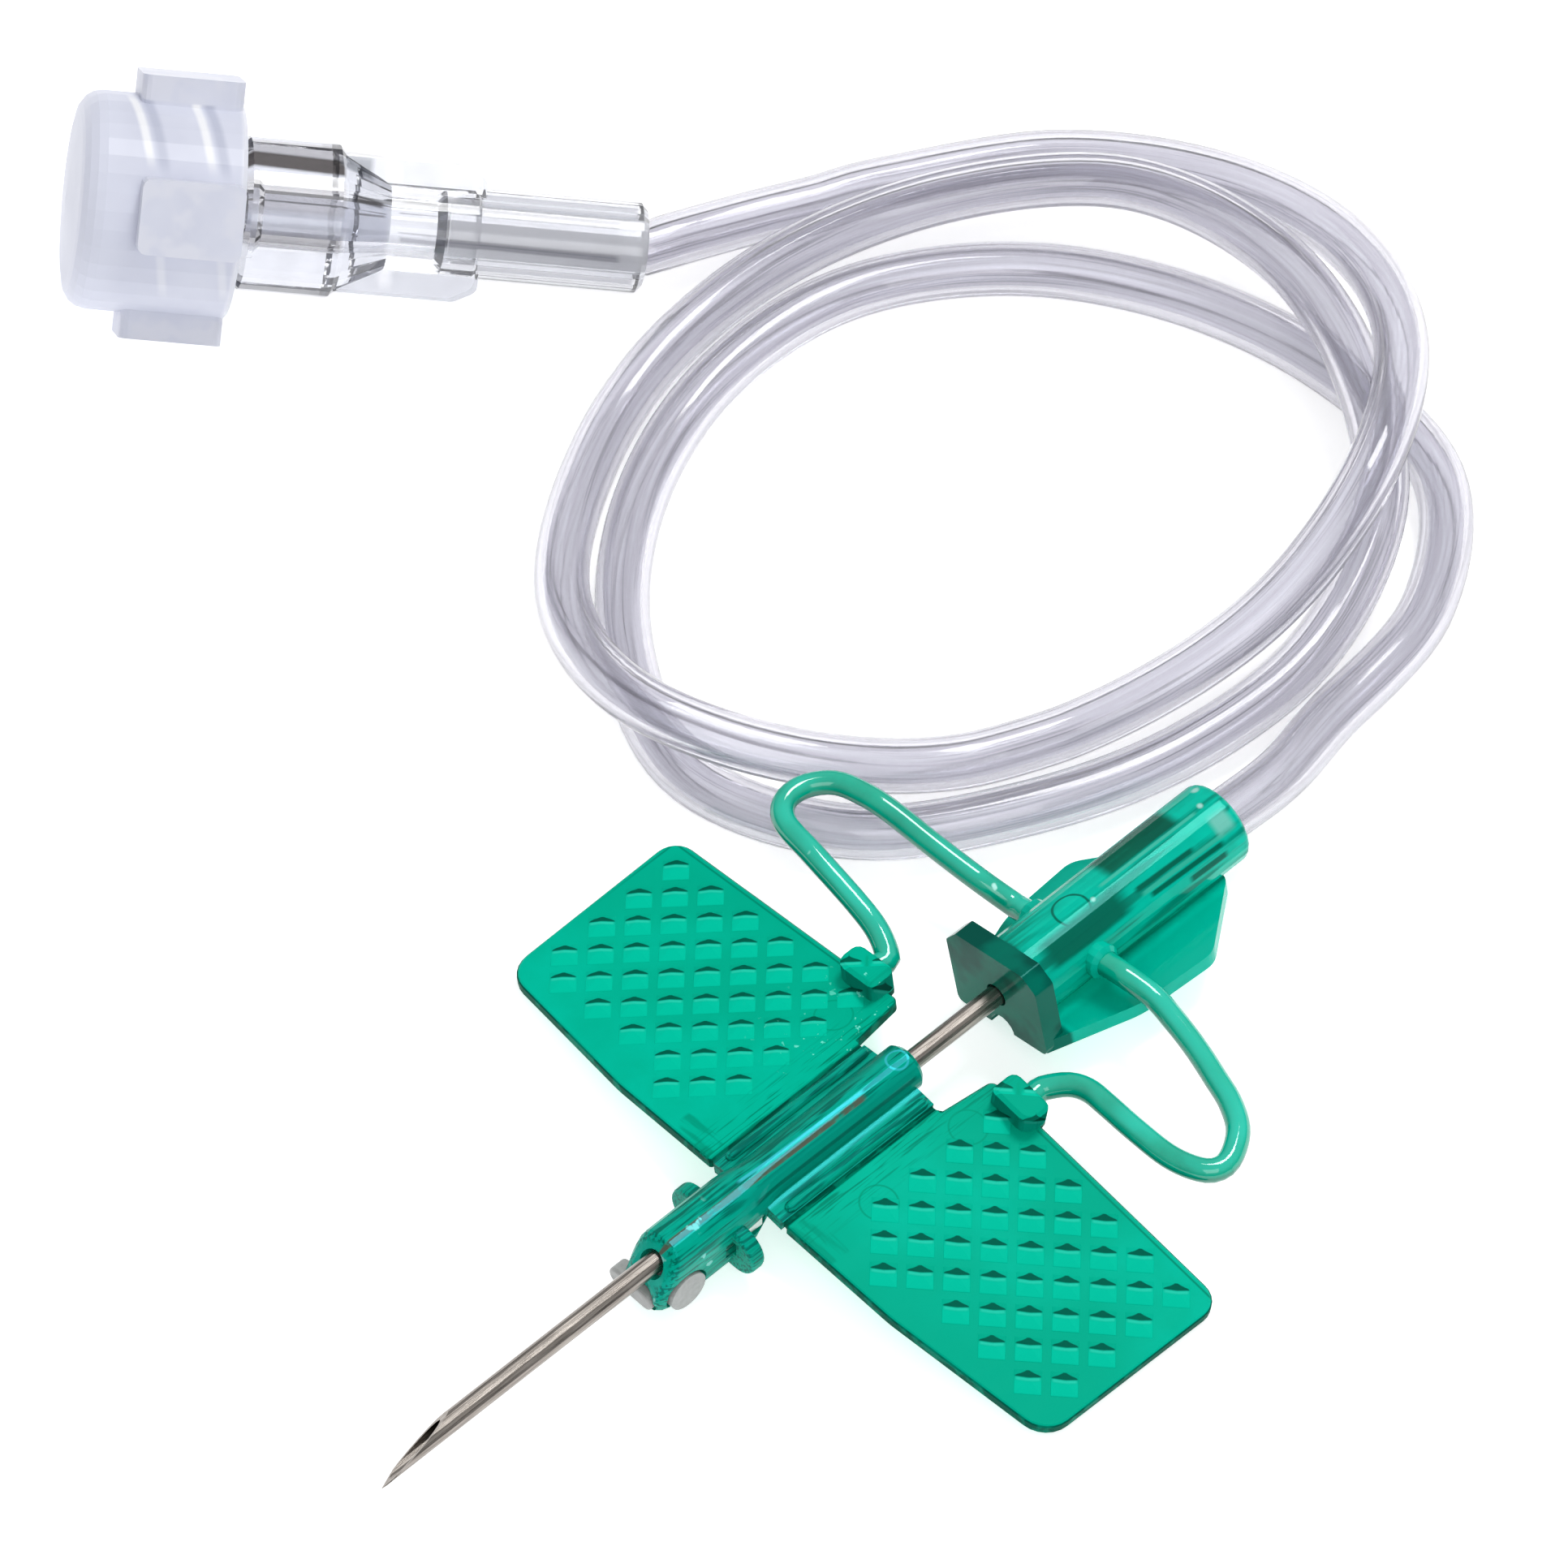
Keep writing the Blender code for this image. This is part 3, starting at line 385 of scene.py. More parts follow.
def wing_plastic(name, side, rings):
    """A wing: rims darkened with painted shade, soft pyramids with painted light and a painted shade mark in the
    upper half of each, ejector circles.
    """
    place = wing_frame(side)
    m = Mat(name, IOR=1.4, Transmission_Weight=0.04)
    x, y, z = m.xyz(m.placed(place, IN_MM))
    reach = m.math("ABSOLUTE", x)
    top = m.facing(place)
    knurl = m.step(z, 0.505, 0.53)
    # the pyramids' slopes are softened, as in clear plastic that shows little of its surface
    normal = m.turned_normal(place, m.math("MULTIPLY", knurl, 0.78))
    moulded(m, (0, 190, 160), (0, 182, 150), 0.4, 0.03, normal)
    glow = m.noise(70, 2.0)
    m.paint((0, 172, 140), m.step(glow, 0.35, 0.65), m.step(z, 0.3, 0.49))
    # cell coordinates: p along one row, q across the rows
    pitch = KNURL_PITCH * MM * math.sqrt(2)
    across = m.math("SUBTRACT", x, side * KNURL_START[0] * MM)
    back = m.math("SUBTRACT", y, KNURL_START[1] * MM)
    p = m.math("DIVIDE", m.math("ADD", across, back), pitch)
    q = m.math("DIVIDE", m.math("SUBTRACT", back, across), pitch)
    p = m.math("ABSOLUTE", m.math("SUBTRACT", p, m.math("ROUND", p)))
    q = m.math("SUBTRACT", q, m.math("ROUND", q))
    # the higher on its pyramid, the further a pattern is shifted across the rows
    above = m.math("SUBTRACT", z, WING_THICKNESS / 2 * MM)
    q = m.math("MULTIPLY_ADD", above, PYRAMID_LEAN / (KNURL_HEIGHT * MM), q)
    # painted light on each pyramid's near faces, a painted highlight band under its dark mark, and painted shade
    # in the valleys between pyramids
    m.paint((0, 198, 164), knurl, m.step(q, 0.2, 0.0), m.step(p, 0.46, 0.34), m.step(q, -0.46, -0.3))
    m.paint((40, 208, 178), knurl, m.band(q, 0.08, 0.16, 0.04), m.step(p, 0.38, 0.28))
    m.paint((0, 168, 134), knurl, m.step(p, 0.42, 0.49), m.step(q, 0.5, 0.3))
    # the dark mark is painted shade on each pyramid's far face
    fall = m.step(q, 0.5, 0.19)
    half = m.math("MULTIPLY", m.math("MULTIPLY", fall, fall), 0.36)
    inside = m.step(m.math("SUBTRACT", p, half), 0.02, -0.03)
    m.paint((0, 96, 76), knurl, inside, m.step(q, 0.16, 0.2), m.step(q, 0.5, 0.46))
    # the ledge beside the front of the hinge
    ledge = m.both(m.step(y, -3.2, -3.4), m.band(reach, 3.9, 7.6, 0.15), m.step(z, 0.4, 0.48))
    m.paint((0, 158, 128), ledge, m.step(m.noise(1.0, 2.0, m.placed(place, (300, 1800, 100))), 0.4, 0.6))
    for centre in rings:
        m.paint((0, 160, 128), m.ring(x, y, centre, 1.3, 0.1), m.step(knurl, 0.9, 0.1))
    # thin dark lines inside the far rims, where the lower edge shows through
    lines = m.both(m.band(y, 12.28, 12.42, 0.05), m.step(reach, 8.9, 9.3))
    if side < 0:
        lines = m.math("MAXIMUM", lines, m.both(m.band(reach, 25.66, 25.8, 0.05), m.step(y, 4, 12.4)))
    m.paint((0, 140, 112), lines)
    # painted shade on the rims, where the faces turn away from the wing's top, with lighter mottling
    rim = m.both(m.step(m.math("ABSOLUTE", top), 0.98, 0.93), m.step(z, 0.44, 0.38))
    m.paint((0, 88, 70), rim)
    mottle = m.both(rim, m.step(m.noise(700, 2.0), 0.5, 0.62))
    m.paint((0, 124, 100), mottle)
    # fold lines and milky sparkles beside the hinge
    near = m.both(m.step(reach, 6.6, 4.2), m.step(top, 0.4, 0.8))
    folds = m.noise(1.0, 2.0, m.placed(place, (5200, 260, 100)))
    m.paint((0, 140, 112), near, m.step(folds, 0.52, 0.64))
    if side < 0:
        glints = m.step(m.noise(1900, 3.0), 0.66, 0.72)
        spread = m.both(m.step(reach, 12.0, 4.0), m.step(y, 2.0, 6.0), m.step(top, 0.4, 0.8))
        m.paint((120, 240, 220), glints, spread)
    return m.finished()


def guard_plastic():
    """The guard's round barrel and webs: painted shade on the sides, a painted highlight line, and the needle's
    brown-grey line showing through below it.
    """
    m = Mat("guard_green", IOR=1.49, Transmission_Weight=0.35)
    moulded(m, (0, 200, 172), (0, 186, 158), 0.16, 0.3)
    m.bsdf.inputs["Specular Tint"].default_value = (0.06, 0.85, 1.0, 1)
    y, angle, reach = m.around(NEEDLE_FRAME)
    webs = m.step(reach, 1.9, 2.3)
    m.link(m.math("MULTIPLY_ADD", webs, 0.4, 0.15), "Roughness")
    folds = m.noise(1.0, 2.0, m.placed(NEEDLE_FRAME, (4200, 220, 4200)))
    m.paint((0, 122, 102), m.step(folds, 0.46, 0.6), m.step(reach, 1.2, 1.7))
    m.paint((0, 176, 146), webs, m.step(folds, 0.5, 0.36))
    round_part = m.both(m.step(reach, 2.1, 1.9), m.step(y, -9.0, -6.5))
    # painted shade down both sides of the round part, deeper on one side
    m.paint((0, 172, 148), round_part, m.step(angle, 20, 46))
    m.paint((0, 138, 116), round_part, m.step(angle, -14, -40))
    shade = m.streak(y, angle, (-14.6, 15), (4.6, 25), 5, 4)
    m.paint((104, 106, 88), m.step(reach, 2.6, 2.3), shade, m.step(m.noise(900, 2.0), 0.2, 0.5))
    m.paint((0, 122, 102), round_part, m.streak(y, angle, (-6.0, 64), (8.6, 66), 3, 4))
    # a painted cyan highlight line along the barrel, and a painted highlight ring at its end
    m.paint((70, 225, 238), round_part, m.streak(y, angle, (-6.1, 2.6), (4.8, 12.7), 2.2, 3))
    m.paint((60, 215, 225), round_part, m.ring(y, m.math("MULTIPLY", angle, GUIDE_ARC), (8.2, 0.1), 0.75, 0.12))
    # painted glints on the nose
    m.paint((150, 235, 225), m.step(y, -8.5, -9.2), m.step(m.noise(900, 3.0), 0.62, 0.68))
    return m.finished()


def hub_plastic():
    """The hub: dark where the tube's socket shows, long painted highlight lines, painted glints, a milky patch
    at the tube's end.
    """
    m = Mat("hub_green", IOR=1.49, Transmission_Weight=0.35)
    moulded(m, (0, 222, 194), (0, 206, 178), 0.12, 0.1)
    y, angle, reach = m.around(HUB_FRAME)
    barrel = m.both(m.step(reach, 3.35, 3.15), m.step(y, 19.0, 19.4))
    streaks = m.noise(1.0, 2.0, m.placed(HUB_FRAME, (1500, 90, 1500)))
    m.paint((0, 156, 132), barrel, m.step(streaks, 0.48, 0.64))
    m.paint((0, 104, 82), barrel, m.band(y, 28.0, 34.4, 0.5), m.band(angle, -40, 9, 3))
    m.paint((0, 118, 96), barrel, m.band(y, 20.5, 27.6, 0.8), m.band(angle, 24, 62, 5))
    grooves = (((28.7, 45), (33.8, 48), 2), ((32.7, 80), (36.0, 82), 3), ((29.5, 62), (36.0, 66), 2))
    for start, stop, width in grooves:
        m.paint((0, 112, 90), barrel, m.streak(y, angle, start, stop, width, 3))
    # two long painted highlight lines along the barrel
    m.paint((80, 215, 190), barrel, m.streak(y, angle, (27.0, 11.6), (35.7, 12.8), 1.2, 2))
    m.paint((60, 205, 178), barrel, m.streak(y, angle, (29.0, 54), (36.3, 57), 1.5, 2.5))
    m.paint((130, 222, 205), barrel, m.band(y, 36.0, 37.4, 0.3), m.band(angle, 30, 56, 7))
    arc = m.math("MULTIPLY", angle, HUB_ARC)
    m.paint((0, 118, 98), barrel, m.ring(y, arc, (24.3, 0.69), 1.3, 0.14))
    # painted glints on the barrel
    for along, at, size in ((37.3, -18, 0.4), (36.4, 9, 0.3), (25.9, 20, 0.25), (24.0, 96, 0.4)):
        spot = m.ring(y, arc, (along, at * HUB_ARC), 0.0, size)
        m.paint((190, 250, 240), m.step(reach, 3.6, 3.4), spot)
    # the block and the flange in front are deep green
    front = m.step(y, 19.6, 19.2)
    m.link(m.math("MULTIPLY_ADD", front, -0.27, 0.35), "Transmission Weight")
    m.paint((0, 108, 90), front)
    m.paint((0, 78, 66), front, m.step(m.noise(300, 2.0), 0.42, 0.6))
    # painted light where the panel's faces turn to the hub's top
    panel = m.both(m.step(reach, 3.6, 4.2), m.step(y, 19.0, 20.0))
    m.paint((0, 192, 166), panel, m.step(m.facing(HUB_FRAME), 0.4, 0.8))
    return m.finished()


def tether_plastic():
    """The tethers: glossy, with painted shade on their flanks, painted light along the top and small painted
    glints along the top.
    """
    m = Mat("tether_green", IOR=1.49)
    moulded(m, (0, 182, 150), (0, 160, 132), 0.06, 0.6, None, 0.08)
    m.bsdf.inputs["Specular Tint"].default_value = (1, 1, 1, 1)
    m.bsdf.inputs["Coat Weight"].default_value = 0.3
    m.bsdf.inputs["Coat Roughness"].default_value = 0.03
    side = m.facing(Matrix.Identity(4))
    # painted shade on the flanks that turn away from the top
    m.paint((0, 132, 108), m.step(side, 0.45, 0.1))
    # painted light along the top
    glow = m.both(m.step(side, 0.55, 0.9), m.step(m.noise(160, 2.0), 0.35, 0.7))
    m.paint((16, 200, 174), glow)
    # small painted glints
    m.paint((190, 250, 240), m.step(m.noise(520, 2.0), 0.7, 0.74), m.step(side, 0.3, 0.6))
    return m.finished()


def steel(name, light, dark, roughness, along):
    """Drawn steel: fine lines along the tube and small changes of tone."""
    m = Mat(name, Metallic=1.0, Roughness=roughness)
    lines = m.noise(1.0, 4.0, m.placed(NEEDLE_FRAME, along))
    m.colour = m.ramp(lines, (0.3, dark), (0.72, light))
    m.link(m.math("MULTIPLY_ADD", lines, 0.2, roughness - 0.08), "Roughness")
    m.link(m.bump(lines, 0.3, 0.00002), "Normal")
    return m.finished()


def matte_grey():
    """The shutter's grey plastic, finely grained."""
    m = Mat("shutter_grey", Roughness=0.42)
    speck = m.noise(2600, 4.0)
    m.colour = m.ramp(speck, (0.3, (0.31, 0.32, 0.315)), (0.7, (0.39, 0.40, 0.395)))
    m.link(m.bump(speck, 0.3, 0.00004), "Normal")
    return m.finished()


def tube_plastic():
    """Soft clear tube: lavender-grey wall with thin dark and pale lines along it."""
    m = Mat("tube_clear", IOR=1.42, Transmission_Weight=0.88)
    u, v, _ = m.xyz(m.node("TexCoord").outputs["UV"])
    wander = m.noise(60, 2.0)
    turn = m.math("MULTIPLY", m.math("MULTIPLY_ADD", wander, 0.05, u), TURN)
    # the lines' noise is read on a circle, so that it meets itself round the tube
    lines = m.node("CombineXYZ")
    for socket, wave in zip(lines.inputs, ("SINE", "COSINE")):
        m.tree.links.new(m.math("MULTIPLY", m.math(wave, turn), 3.0), socket)
    m.tree.links.new(m.math("MULTIPLY", v, 0.22), lines.inputs["Z"])
    grain = m.noise(1.6, 3.0, lines.outputs[0])
    m.colour = m.ramp(grain, (0.36, rgb(220, 219, 226)), (0.5, rgb(231, 230, 237)), (0.64, rgb(241, 241, 247)))
    m.paint((184, 183, 190), m.step(grain, 0.40, 0.35))
    y, _, reach = m.around(CONNECTOR)
    inside = m.both(m.step(y, -0.3, 0.3), m.step(y, 22.0, 20.0), m.step(reach, 2.4, 2.2))
    m.paint((248, 248, 251), inside)
    m.link(m.math("MULTIPLY_ADD", inside, -0.8, 0.88), "Transmission Weight")
    m.link(m.math("MULTIPLY_ADD", grain, 0.05, 0.03), "Roughness")
    m.link(m.bump(grain, 0.12, 0.00008), "Normal")
    return m.finished()


def connector_plastic():
    """Hard clear plastic with a painted dark reflection streak and painted shade bands along its collar, and
    painted highlight bars and shade lines on its sleeve.
    """
    m = Mat("connector_clear", IOR=1.5, Transmission_Weight=0.9)
    haze = m.noise(500, 3.0)
    m.colour = m.ramp(haze, (0.3, rgb(214, 216, 224)), (0.7, rgb(226, 228, 236)))
    y, angle, reach = m.around(CONNECTOR)
    collar = m.both(m.step(reach, 4.4, 4.8), m.step(y, 21.2, 21.6))
    sleeve = m.both(m.step(reach, 3.5, 3.3), m.step(y, 17.6, 17.3))
    # painted shade bands round the collar, with a painted dark reflection streak along it
    m.paint((172, 170, 174), collar, m.band(angle, 10, 34, 4))
    m.paint((196, 194, 196), collar, m.band(angle, -38, -10, 4))
    m.paint((34, 30, 29), collar, m.streak(y, angle, (21.3, 4), (28.4, 7), 6.0, 4))
    m.paint((150, 148, 150), collar, m.band(angle, -64, -50, 5))
    # painted shade lines on the cone and the collar beside it
    cone = m.band(y, 18.6, 20.8, 0.25)
    m.paint((84, 82, 86), cone, m.band(angle, -22, -15, 1.6))
    m.paint((120, 124, 130), m.band(y, 19.4, 21.6, 0.3), m.band(angle, 8, 26, 3))
    m.paint((244, 245, 249), sleeve)
    # painted highlight bars on the sleeve
    m.paint((250, 250, 250), sleeve, m.band(y, 13.4, 14.1, 0.15), m.band(angle, -2, 16, 2))
    m.paint((250, 250, 252), sleeve, m.band(y, 11.6, 12.2, 0.15), m.band(angle, 2, 40, 2))
    # painted shade lines along the sleeve and along its outline
    m.paint((158, 158, 166), sleeve, m.streak(y, angle, (2.0, -10), (17.4, -9), 1.0, 2.4))
    m.paint((176, 176, 184), sleeve, m.streak(y, angle, (2.0, -58), (17.4, -55), 1.4, 3))
    m.paint((150, 152, 162), sleeve, m.band(m.math("ABSOLUTE", m.math("ADD", angle, 38)), 79, 92, 4))
    m.paint((246, 247, 250), m.step(y, 0.75, 0.45), m.step(reach, 2.0, 2.3))
    m.paint((244, 245, 250), m.step(reach, 5.0, 4.0), m.band(y, 17.3, 18.2, 0.2))
    m.link(m.math("MULTIPLY_ADD", haze, 0.05, 0.01), "Roughness")
    m.link(m.bump(m.noise(320, 2.0), 0.1, 0.0001), "Normal")
    return m.finished()


def cap_plastic():
    """Milky cap with the turns of its thread showing through as painted highlight lines, with painted shade
    beside each.
    """
    m = Mat("cap_milky", IOR=1.48, Transmission_Weight=0.12)
    haze = m.noise(220, 3.0)
    m.colour = m.ramp(haze, (0.3, rgb(214, 217, 233)), (0.7, rgb(224, 227, 241)))
    y, angle, reach = m.around(CONNECTOR)
    skin = m.both(m.step(reach, 5.9, 6.4), m.step(reach, 7.9, 7.7))
    for start in (31.4, 35.6):
        turn = m.math("SUBTRACT", y, m.math("MULTIPLY_ADD", angle, THREAD_RISE, start))
        line = m.step(m.math("ABSOLUTE", turn), 0.45, 0.1)
        far = m.math("MULTIPLY", m.band(angle, -92, -62, 8), 0.35)
        fade = m.math("MAXIMUM", m.band(angle, -16, 34, 8), far)
        # the thread's turns as painted highlight lines, with painted shade just beside each
        m.paint((250, 251, 255), skin, line, fade)
        shade = m.step(m.math("ABSOLUTE", m.math("ADD", turn, 0.9)), 0.6, 0.1)
        m.paint((196, 200, 218), skin, shade, m.band(angle, -20, 36, 8))
    m.paint((224, 227, 242), m.step(y, 36.2, 38.4), m.step(reach, 5.5, 6.2))
    m.paint((236, 238, 248), skin, m.band(y, 28.3, 28.9, 0.2))
    m.paint((226, 228, 240), m.step(reach, 7.7, 7.9), m.step(m.noise(400, 2.0), 0.4, 0.6))
    speck = m.ring(y, m.math("MULTIPLY", angle, CAP_ARC), (34.4, -47 * CAP_ARC), 0.0, 0.14)
    m.paint((110, 110, 116), skin, speck)
    m.bsdf.inputs["Specular IOR Level"].default_value = 0.2
    m.link(m.math("MULTIPLY_ADD", haze, 0.08, 0.3), "Roughness")
    m.link(m.bump(m.noise(260, 2.0), 0.15, 0.0001), "Normal")
    return m.finished()


def floor_material():
    """The pale ground, which glows a little as a lit studio sheet does."""
    m = Mat("floor_paint", Roughness=0.9, Emission_Strength=0.75)
    m.colour = m.ramp(m.noise(6, 4.0), (0.3, (0.80, 0.80, 0.805)), (0.7, (0.83, 0.83, 0.835)))
    m.link(m.colour, "Emission Color")
    m.bsdf.inputs["Specular IOR Level"].default_value = 0.1
    return m.finished()


# Shapes
def new_object(name, bm, mat):
    """An object with the bmesh's shape, smooth but for its sharp edges."""
    bmesh.ops.recalc_face_normals(bm, faces=bm.faces)
    mesh = bpy.data.meshes.new(name)
    bm.to_mesh(mesh)
    bm.free()
    obj = bpy.data.objects.new(name, mesh)
    scene.collection.objects.link(obj)
    mesh.materials.append(mat)
    mesh.shade_smooth()
    mesh.set_sharp_from_angle(angle=SHARP_ANGLE)
    return obj


def smooth_line(route, step):
    """Points about one step apart on a smooth curve through the route."""
    fine = []
    for i in range(len(route) - 1):
        a = route[max(i - 1, 0)]
        b = route[i]
        c = route[i + 1]
        d = route[min(i + 2, len(route) - 1)]
        for k in range(CURVE_STEPS):
            s = k / CURVE_STEPS
            square = (a * 2 - b * 5 + c * 4 - d) * s * s
            cube = (b * 3 - a - c * 3 + d) * s ** 3
            fine.append((b * 2 + (c - a) * s + square + cube) / 2)
    fine.append(route[-1])
    lengths = [0.0]
    for a, b in zip(fine, fine[1:]):
        lengths.append(lengths[-1] + (b - a).length)
    count = max(2, round(lengths[-1] / step))
    points = []
    j = 0
    for i in range(count + 1):
        want = lengths[-1] * i / count
        while j < len(fine) - 2 and lengths[j + 1] < want:
            j += 1
        share = (want - lengths[j]) / (lengths[j + 1] - lengths[j])
        points.append(fine[j].lerp(fine[j + 1], min(share, 1.0)))
    return points


def swept(points, radii, sides, inner=None, caps=(0, -1), part=None):
    """A round rod along the points, or along a part of them, closed at the caps.

    With inner it has a bore of that radius, and the caps join the bore to the outside.
    """
    count = len(points)
    tangents = [(points[min(i + 1, count - 1)] - points[max(i - 1, 0)]).normalized() for i in range(count)]
    across = tangents[0].cross(Vector((0, 0, 1))).normalized()
    bm = bmesh.new()
    outer_rings, inner_rings = [], []
    for i, place in enumerate(points):
        tangent = tangents[i]
        across = (across - tangent * across.dot(tangent)).normalized()
        up = tangent.cross(across)
        if part and not part[0] <= i <= part[1]:
            continue
        turns = [math.tau * k / sides for k in range(sides)]
        circle = [across * math.cos(turn) + up * math.sin(turn) for turn in turns]
        outer_rings.append([bm.verts.new(place + c * radii[i]) for c in circle])
        if inner:
            inner_rings.append([bm.verts.new(place + c * inner) for c in circle])
    for rings in (outer_rings, inner_rings):
        for low, high in zip(rings, rings[1:]):
            for k in range(sides):
                n = (k + 1) % sides
                bm.faces.new((low[k], low[n], high[n], high[k]))
    for end in caps:
        if inner:
            rim, hole = outer_rings[end], inner_rings[end]
            for k in range(sides):
                n = (k + 1) % sides
                bm.faces.new((rim[k], rim[n], hole[n], hole[k]))
        else:
            bm.faces.new(outer_rings[end])
    # u goes round once, v along in cm
    uv = bm.loops.layers.uv.new("UVMap")
    spot = {}
    first = part[0] if part else 0
    along = 0.0
    for i in range(len(outer_rings)):
        along += (points[first + i] - points[first + i - 1]).length if i else 0.0
        for rings in (outer_rings, inner_rings):
            if rings:
                for k in range(sides):
                    spot[rings[i][k]] = (k / sides, along * 100)
    for face in bm.faces:
        turned = [spot[loop.vert] for loop in face.loops]
        wraps = max(u for u, _ in turned) - min(u for u, _ in turned) > 0.5 and len(turned) == 4
        for loop, (u, v) in zip(face.loops, turned):
            loop[uv].uv = (u + 1 if wraps and u < 0.5 else u, v)
    return bm


# The tube's coils as the photo shows them, from the hub to the connector
TUBE_ROUTE = (
    (-0.0005, 0.0443, 0.0034), (-0.0020, 0.0503, 0.0023), (-0.0042, 0.0621, 0.0020), (-0.0117, 0.0708, 0.0020),
    (-0.0233, 0.0721, 0.0020), (-0.0349, 0.0691, 0.0020), (-0.0448, 0.0624, 0.0020), (-0.0511, 0.0524, 0.0020),
    (-0.0517, 0.0408, 0.0020), (-0.0475, 0.0297, 0.0020), (-0.0394, 0.0209, 0.0020), (-0.0287, 0.0164, 0.0020),
    (-0.0178, 0.0209, 0.0020), (-0.0110, 0.0307, 0.0020), (-0.0071, 0.0421, 0.0020), (-0.0066, 0.0539, 0.0030),
    (-0.0112, 0.0646, 0.0050), (-0.0208, 0.0714, 0.0062), (-0.0322, 0.0747, 0.0051), (-0.0434, 0.0722, 0.0043),
    (-0.0510, 0.0632, 0.0040), (-0.0554, 0.0519, 0.0032), (-0.0559, 0.0400, 0.0021), (-0.0518, 0.0288, 0.0020),
    (-0.0441, 0.0196, 0.0035), (-0.0334, 0.0160, 0.0064), (-0.0235, 0.0212, 0.0047), (-0.0167, 0.0305, 0.0020),
    (-0.0122, 0.0416, 0.0025), (-0.0096, 0.0526, 0.0060), (-0.0113, 0.0636, 0.0096), (-0.0181, 0.0733, 0.0090),
    (-0.0284, 0.0785, 0.0058), (-0.0399, 0.0782, 0.0027), (-0.0496, 0.0718, 0.0020), (-0.0562, 0.0614, 0.0020),
    (-0.0583, 0.0568, 0.0020), (-0.0600, 0.0530, 0.0022), (-0.0614, 0.0492, 0.0026), (-0.0622, 0.0466, 0.0030),
)


def add_tube(mat):
    """The clear tube, from its seat in the hub to its seat in the connector's sleeve."""
    hub = NEEDLE_FRAME @ Vector((0, Y_HUB_END - TUBE_IN_HUB, 0))
    route = [hub, hub + Vector((0, TUBE_STRAIGHT, 0))]
    route += [Vector(p) for p in TUBE_ROUTE]
    route.append(CONNECTOR @ Vector((0, SLEEVE_STATIONS[0], 0)))
    points = smooth_line(route, TUBE_STEP)
    points += [CONNECTOR @ Vector((0, y, 0)) for y in SLEEVE_STATIONS[1:]]
    for place in points:
        place.z = max(place.z, TUBE_OD / 2 + FLOOR_FIT)
    obj = new_object("clear_tube", swept(points, [TUBE_OD / 2] * len(points), TUBE_SIDES, TUBE_ID / 2), mat)
    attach(obj, "hub")
    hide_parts("tubing")


# The tethers' loops as the photo shows them: out from the middle, along, and above the needle's axis
RIGHT_BENDS = (
    (0.0084, 0.0158, -0.0001), (0.0098, 0.0163, 0.0002), (0.0117, 0.0162, 0.0005), (0.0143, 0.0161, 0.0006),
    (0.0173, 0.0162, 0.0006), (0.0193, 0.0168, 0.0006), (0.0203, 0.0177, 0.0006), (0.0203, 0.0190, 0.0006),
    (0.0191, 0.0209, 0.0006), (0.0172, 0.0221, 0.0006), (0.0151, 0.0228, 0.0006), (0.0124, 0.0236, 0.0006),
    (0.0099, 0.0241, 0.0007), (0.0076, 0.0244, 0.0008),
)
LEFT_BENDS = (
    (0.0090, 0.0153, 0.0000), (0.0113, 0.0156, 0.0006), (0.0160, 0.0160, 0.0012), (0.0191, 0.0164, 0.0013),
    (0.0204, 0.0176, 0.0013), (0.0204, 0.0194, 0.0013), (0.0192, 0.0211, 0.0013), (0.0172, 0.0219, 0.0012),
    (0.0150, 0.0223, 0.0010), (0.0118, 0.0227, 0.0004), (0.0080, 0.0232, -0.0002),
)


def add_tether(name, side, bends, mat):
    """A soft rod in two pieces that meet at its bend: one runs from the wing's lug, the other to the hub's boss.
    """
    lug = wing_frame(side)
    rear = Y_WING_REAR + LUG_PAST_EDGE
    route = [lug @ Vector((side * LUG_MIDDLE, rear + along, LUG_HEIGHT * LUG_SHARE)) for along in LUG_STATIONS]
    route += [Vector((side * x, y, AXIS_H + z)) for x, y, z in bends]
    route += [HUB_FRAME @ Vector((side * reach, Y_FLANGE + BOSS_BACK, 0)) for reach in BOSS_STATIONS]
    points = smooth_line(route, TETHER_STEP)
    far = max(range(len(points)), key=lambda i: side * points[i].x)
    count = len(points)
    # a little thinner between its two feet, at the lug and at the boss
    feet = [max(math.exp(-i / 4), math.exp(-(count - 1 - i) / 4)) for i in range(count)]
    radii = [TETHER_OD / 2 * (TETHER_WAIST + TETHER_FOOT * foot) for foot in feet]
    outer = swept(points, radii, TETHER_SIDES, caps=(0,), part=(0, far))
    inner = swept(points, radii, TETHER_SIDES, caps=(-1,), part=(far, count - 1))
    first = new_object(f"{name}_outer", outer, mat)
    second = new_object(f"{name}_inner", inner, mat)
    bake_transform(first)
    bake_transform(second)
    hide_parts(name)
    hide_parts(name)


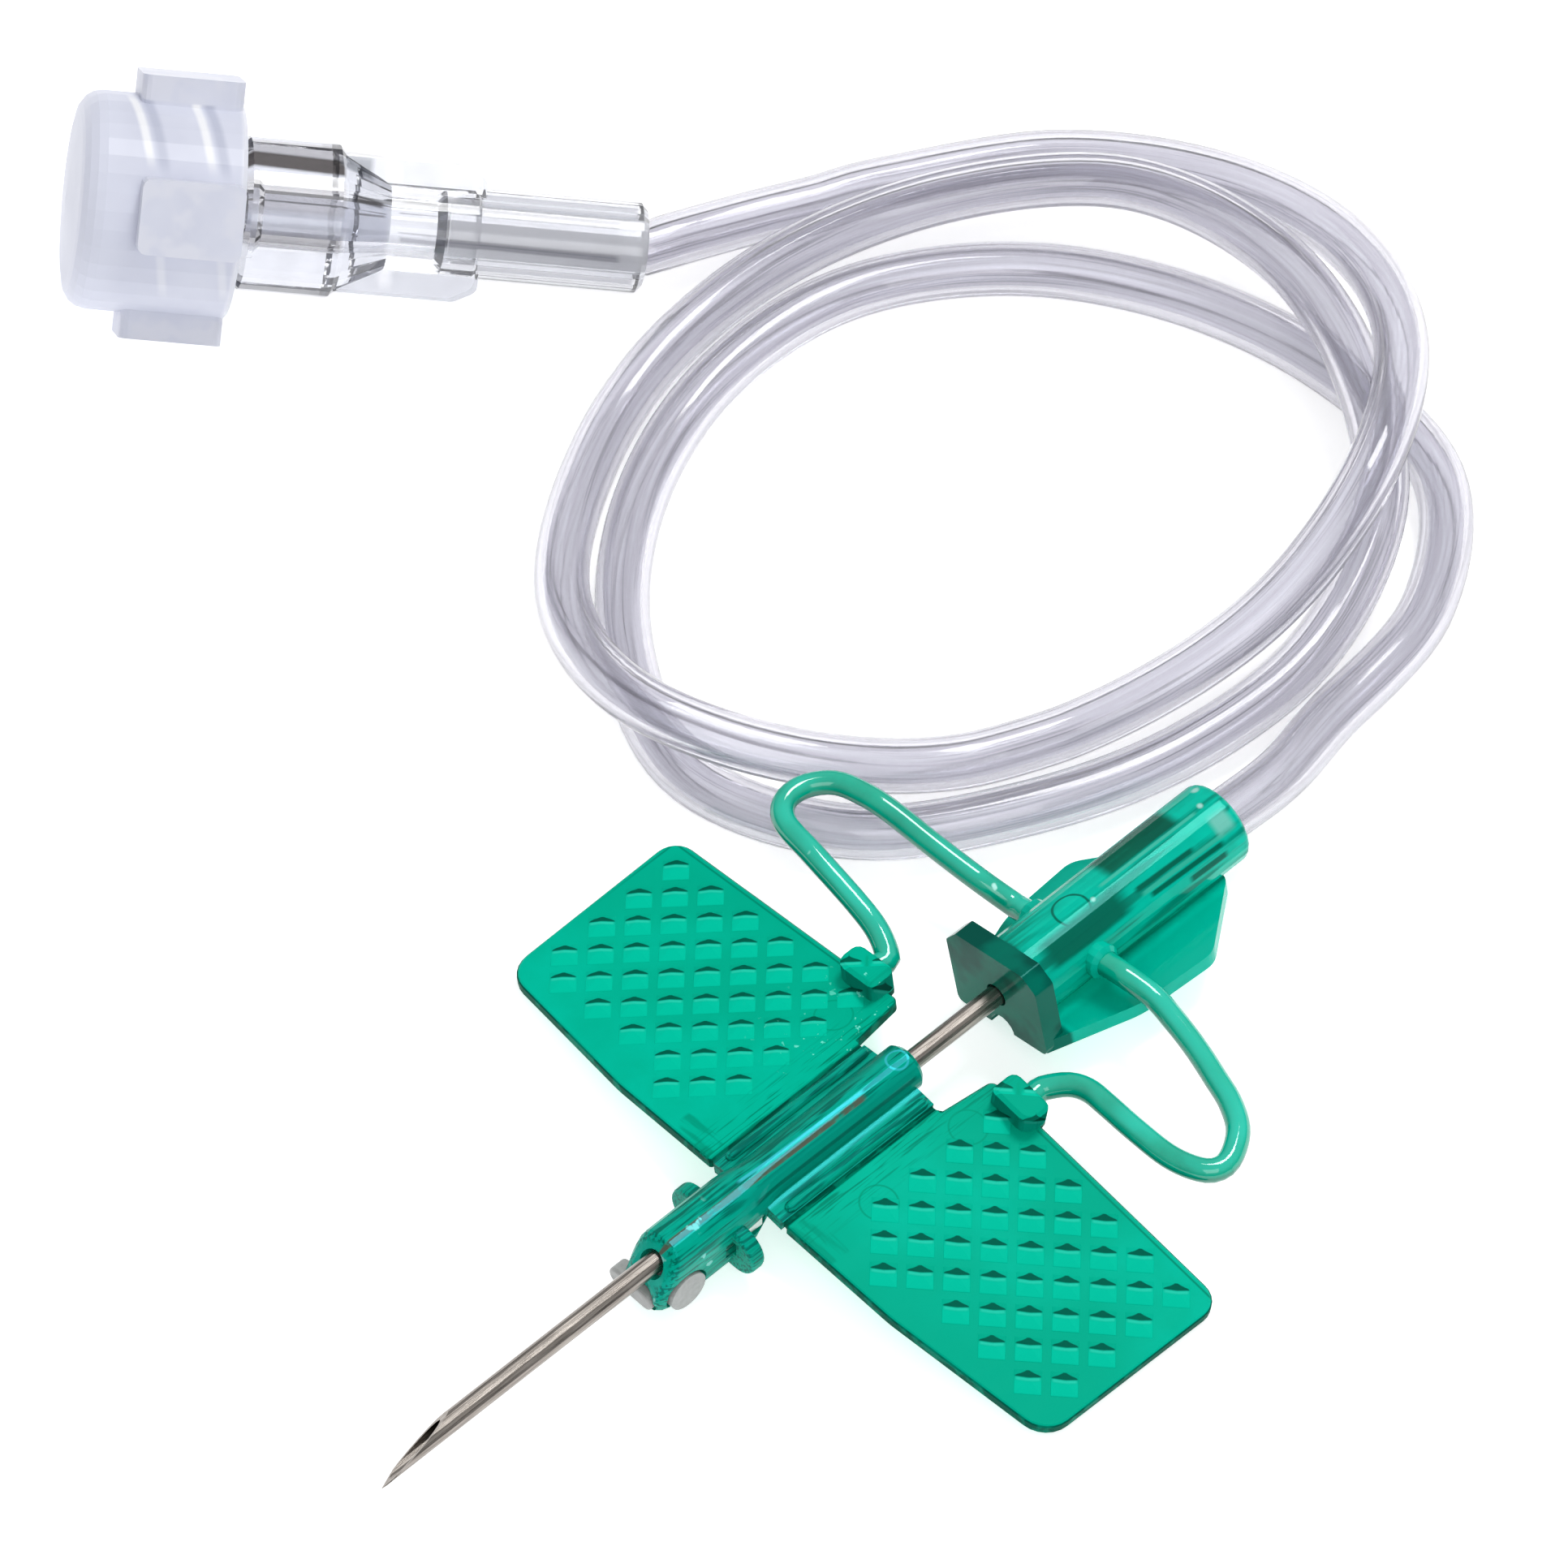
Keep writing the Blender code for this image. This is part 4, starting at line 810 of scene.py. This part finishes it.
def add_hinge(name, side, mat):
    """The thin living hinge between the guard's web and the wing."""
    place = wing_frame(side)
    bm = bmesh.new()
    face = WING_THICKNESS / 2
    start, stop = Y_ROOT + HINGE_FRONT_MARGIN, Y_GUIDE - HINGE_REAR_MARGIN
    loop = [(u, face + top - HINGE_SINK) for u, top, _ in HINGE_SECTION]
    loop += [(u, face + low) for u, _, low in HINGE_SECTION[::-1]]
    rows = []
    for i in range(HINGE_STEPS + 1):
        y = start + (stop - start) * i / HINGE_STEPS
        rows.append([bm.verts.new(place @ Vector((side * (HINGE_REACH + u), y, z))) for u, z in loop])
    size = len(rows[0])
    for low, high in zip(rows, rows[1:]):
        for k in range(size):
            n = (k + 1) % size
            bm.faces.new((low[k], low[n], high[n], high[k]))
    bm.faces.new(rows[0])
    bm.faces.new(rows[-1])
    obj = new_object(name, bm, mat)
    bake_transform(obj)


add_camera()
add_world()
add_area("key", (-0.11, 0.39, 0.81), 0.28, 3.4)
add_area("fill", (0.55, -0.30, 0.6), 0.5, 1.6)

wing_green = {1: wing_plastic("wing_green_right", 1, ((6.27, 0.64), (5.99, 9.03))),
              -1: wing_plastic("wing_green_left", -1, ((-6.66, 8.93),))}
guard_green = guard_plastic()
hub_green = hub_plastic()
tether_green = tether_plastic()
needle_steel = steel("needle_steel", (0.43, 0.395, 0.36), (0.19, 0.168, 0.15), 0.26, (9000, 300, 9000))
spring_steel = steel("spring_steel", (0.80, 0.79, 0.77), (0.62, 0.61, 0.60), 0.22, (6000, 400, 6000))
shutter = matte_grey()
tube_clear = tube_plastic()
hard_clear = connector_plastic()
cap_milky = cap_plastic()

FINISHES = {
    "cannula": needle_steel, "needle_hub": hub_green, "guard_barrel": guard_green, "wing_left": wing_green[-1],
    "wing_right": wing_green[1], "tip_shutter": shutter, "spring_strip": spring_steel,
    "luer_connector": hard_clear, "luer_cap": cap_milky,
}
for node_name, finish in FINISHES.items():
    bpy.data.objects[node_name].material_slots[0].material = finish

add_tube(tube_clear)
add_tether("tether_right", 1, RIGHT_BENDS, tether_green)
add_tether("tether_left", -1, LEFT_BENDS, tether_green)
add_hinge("hinge_right", 1, wing_green[1])
add_hinge("hinge_left", -1, wing_green[-1])

floor_mesh = bmesh.new()
bmesh.ops.create_grid(floor_mesh, x_segments=1, y_segments=1, size=FLOOR_HALF)
floor = new_object("floor", floor_mesh, floor_material())
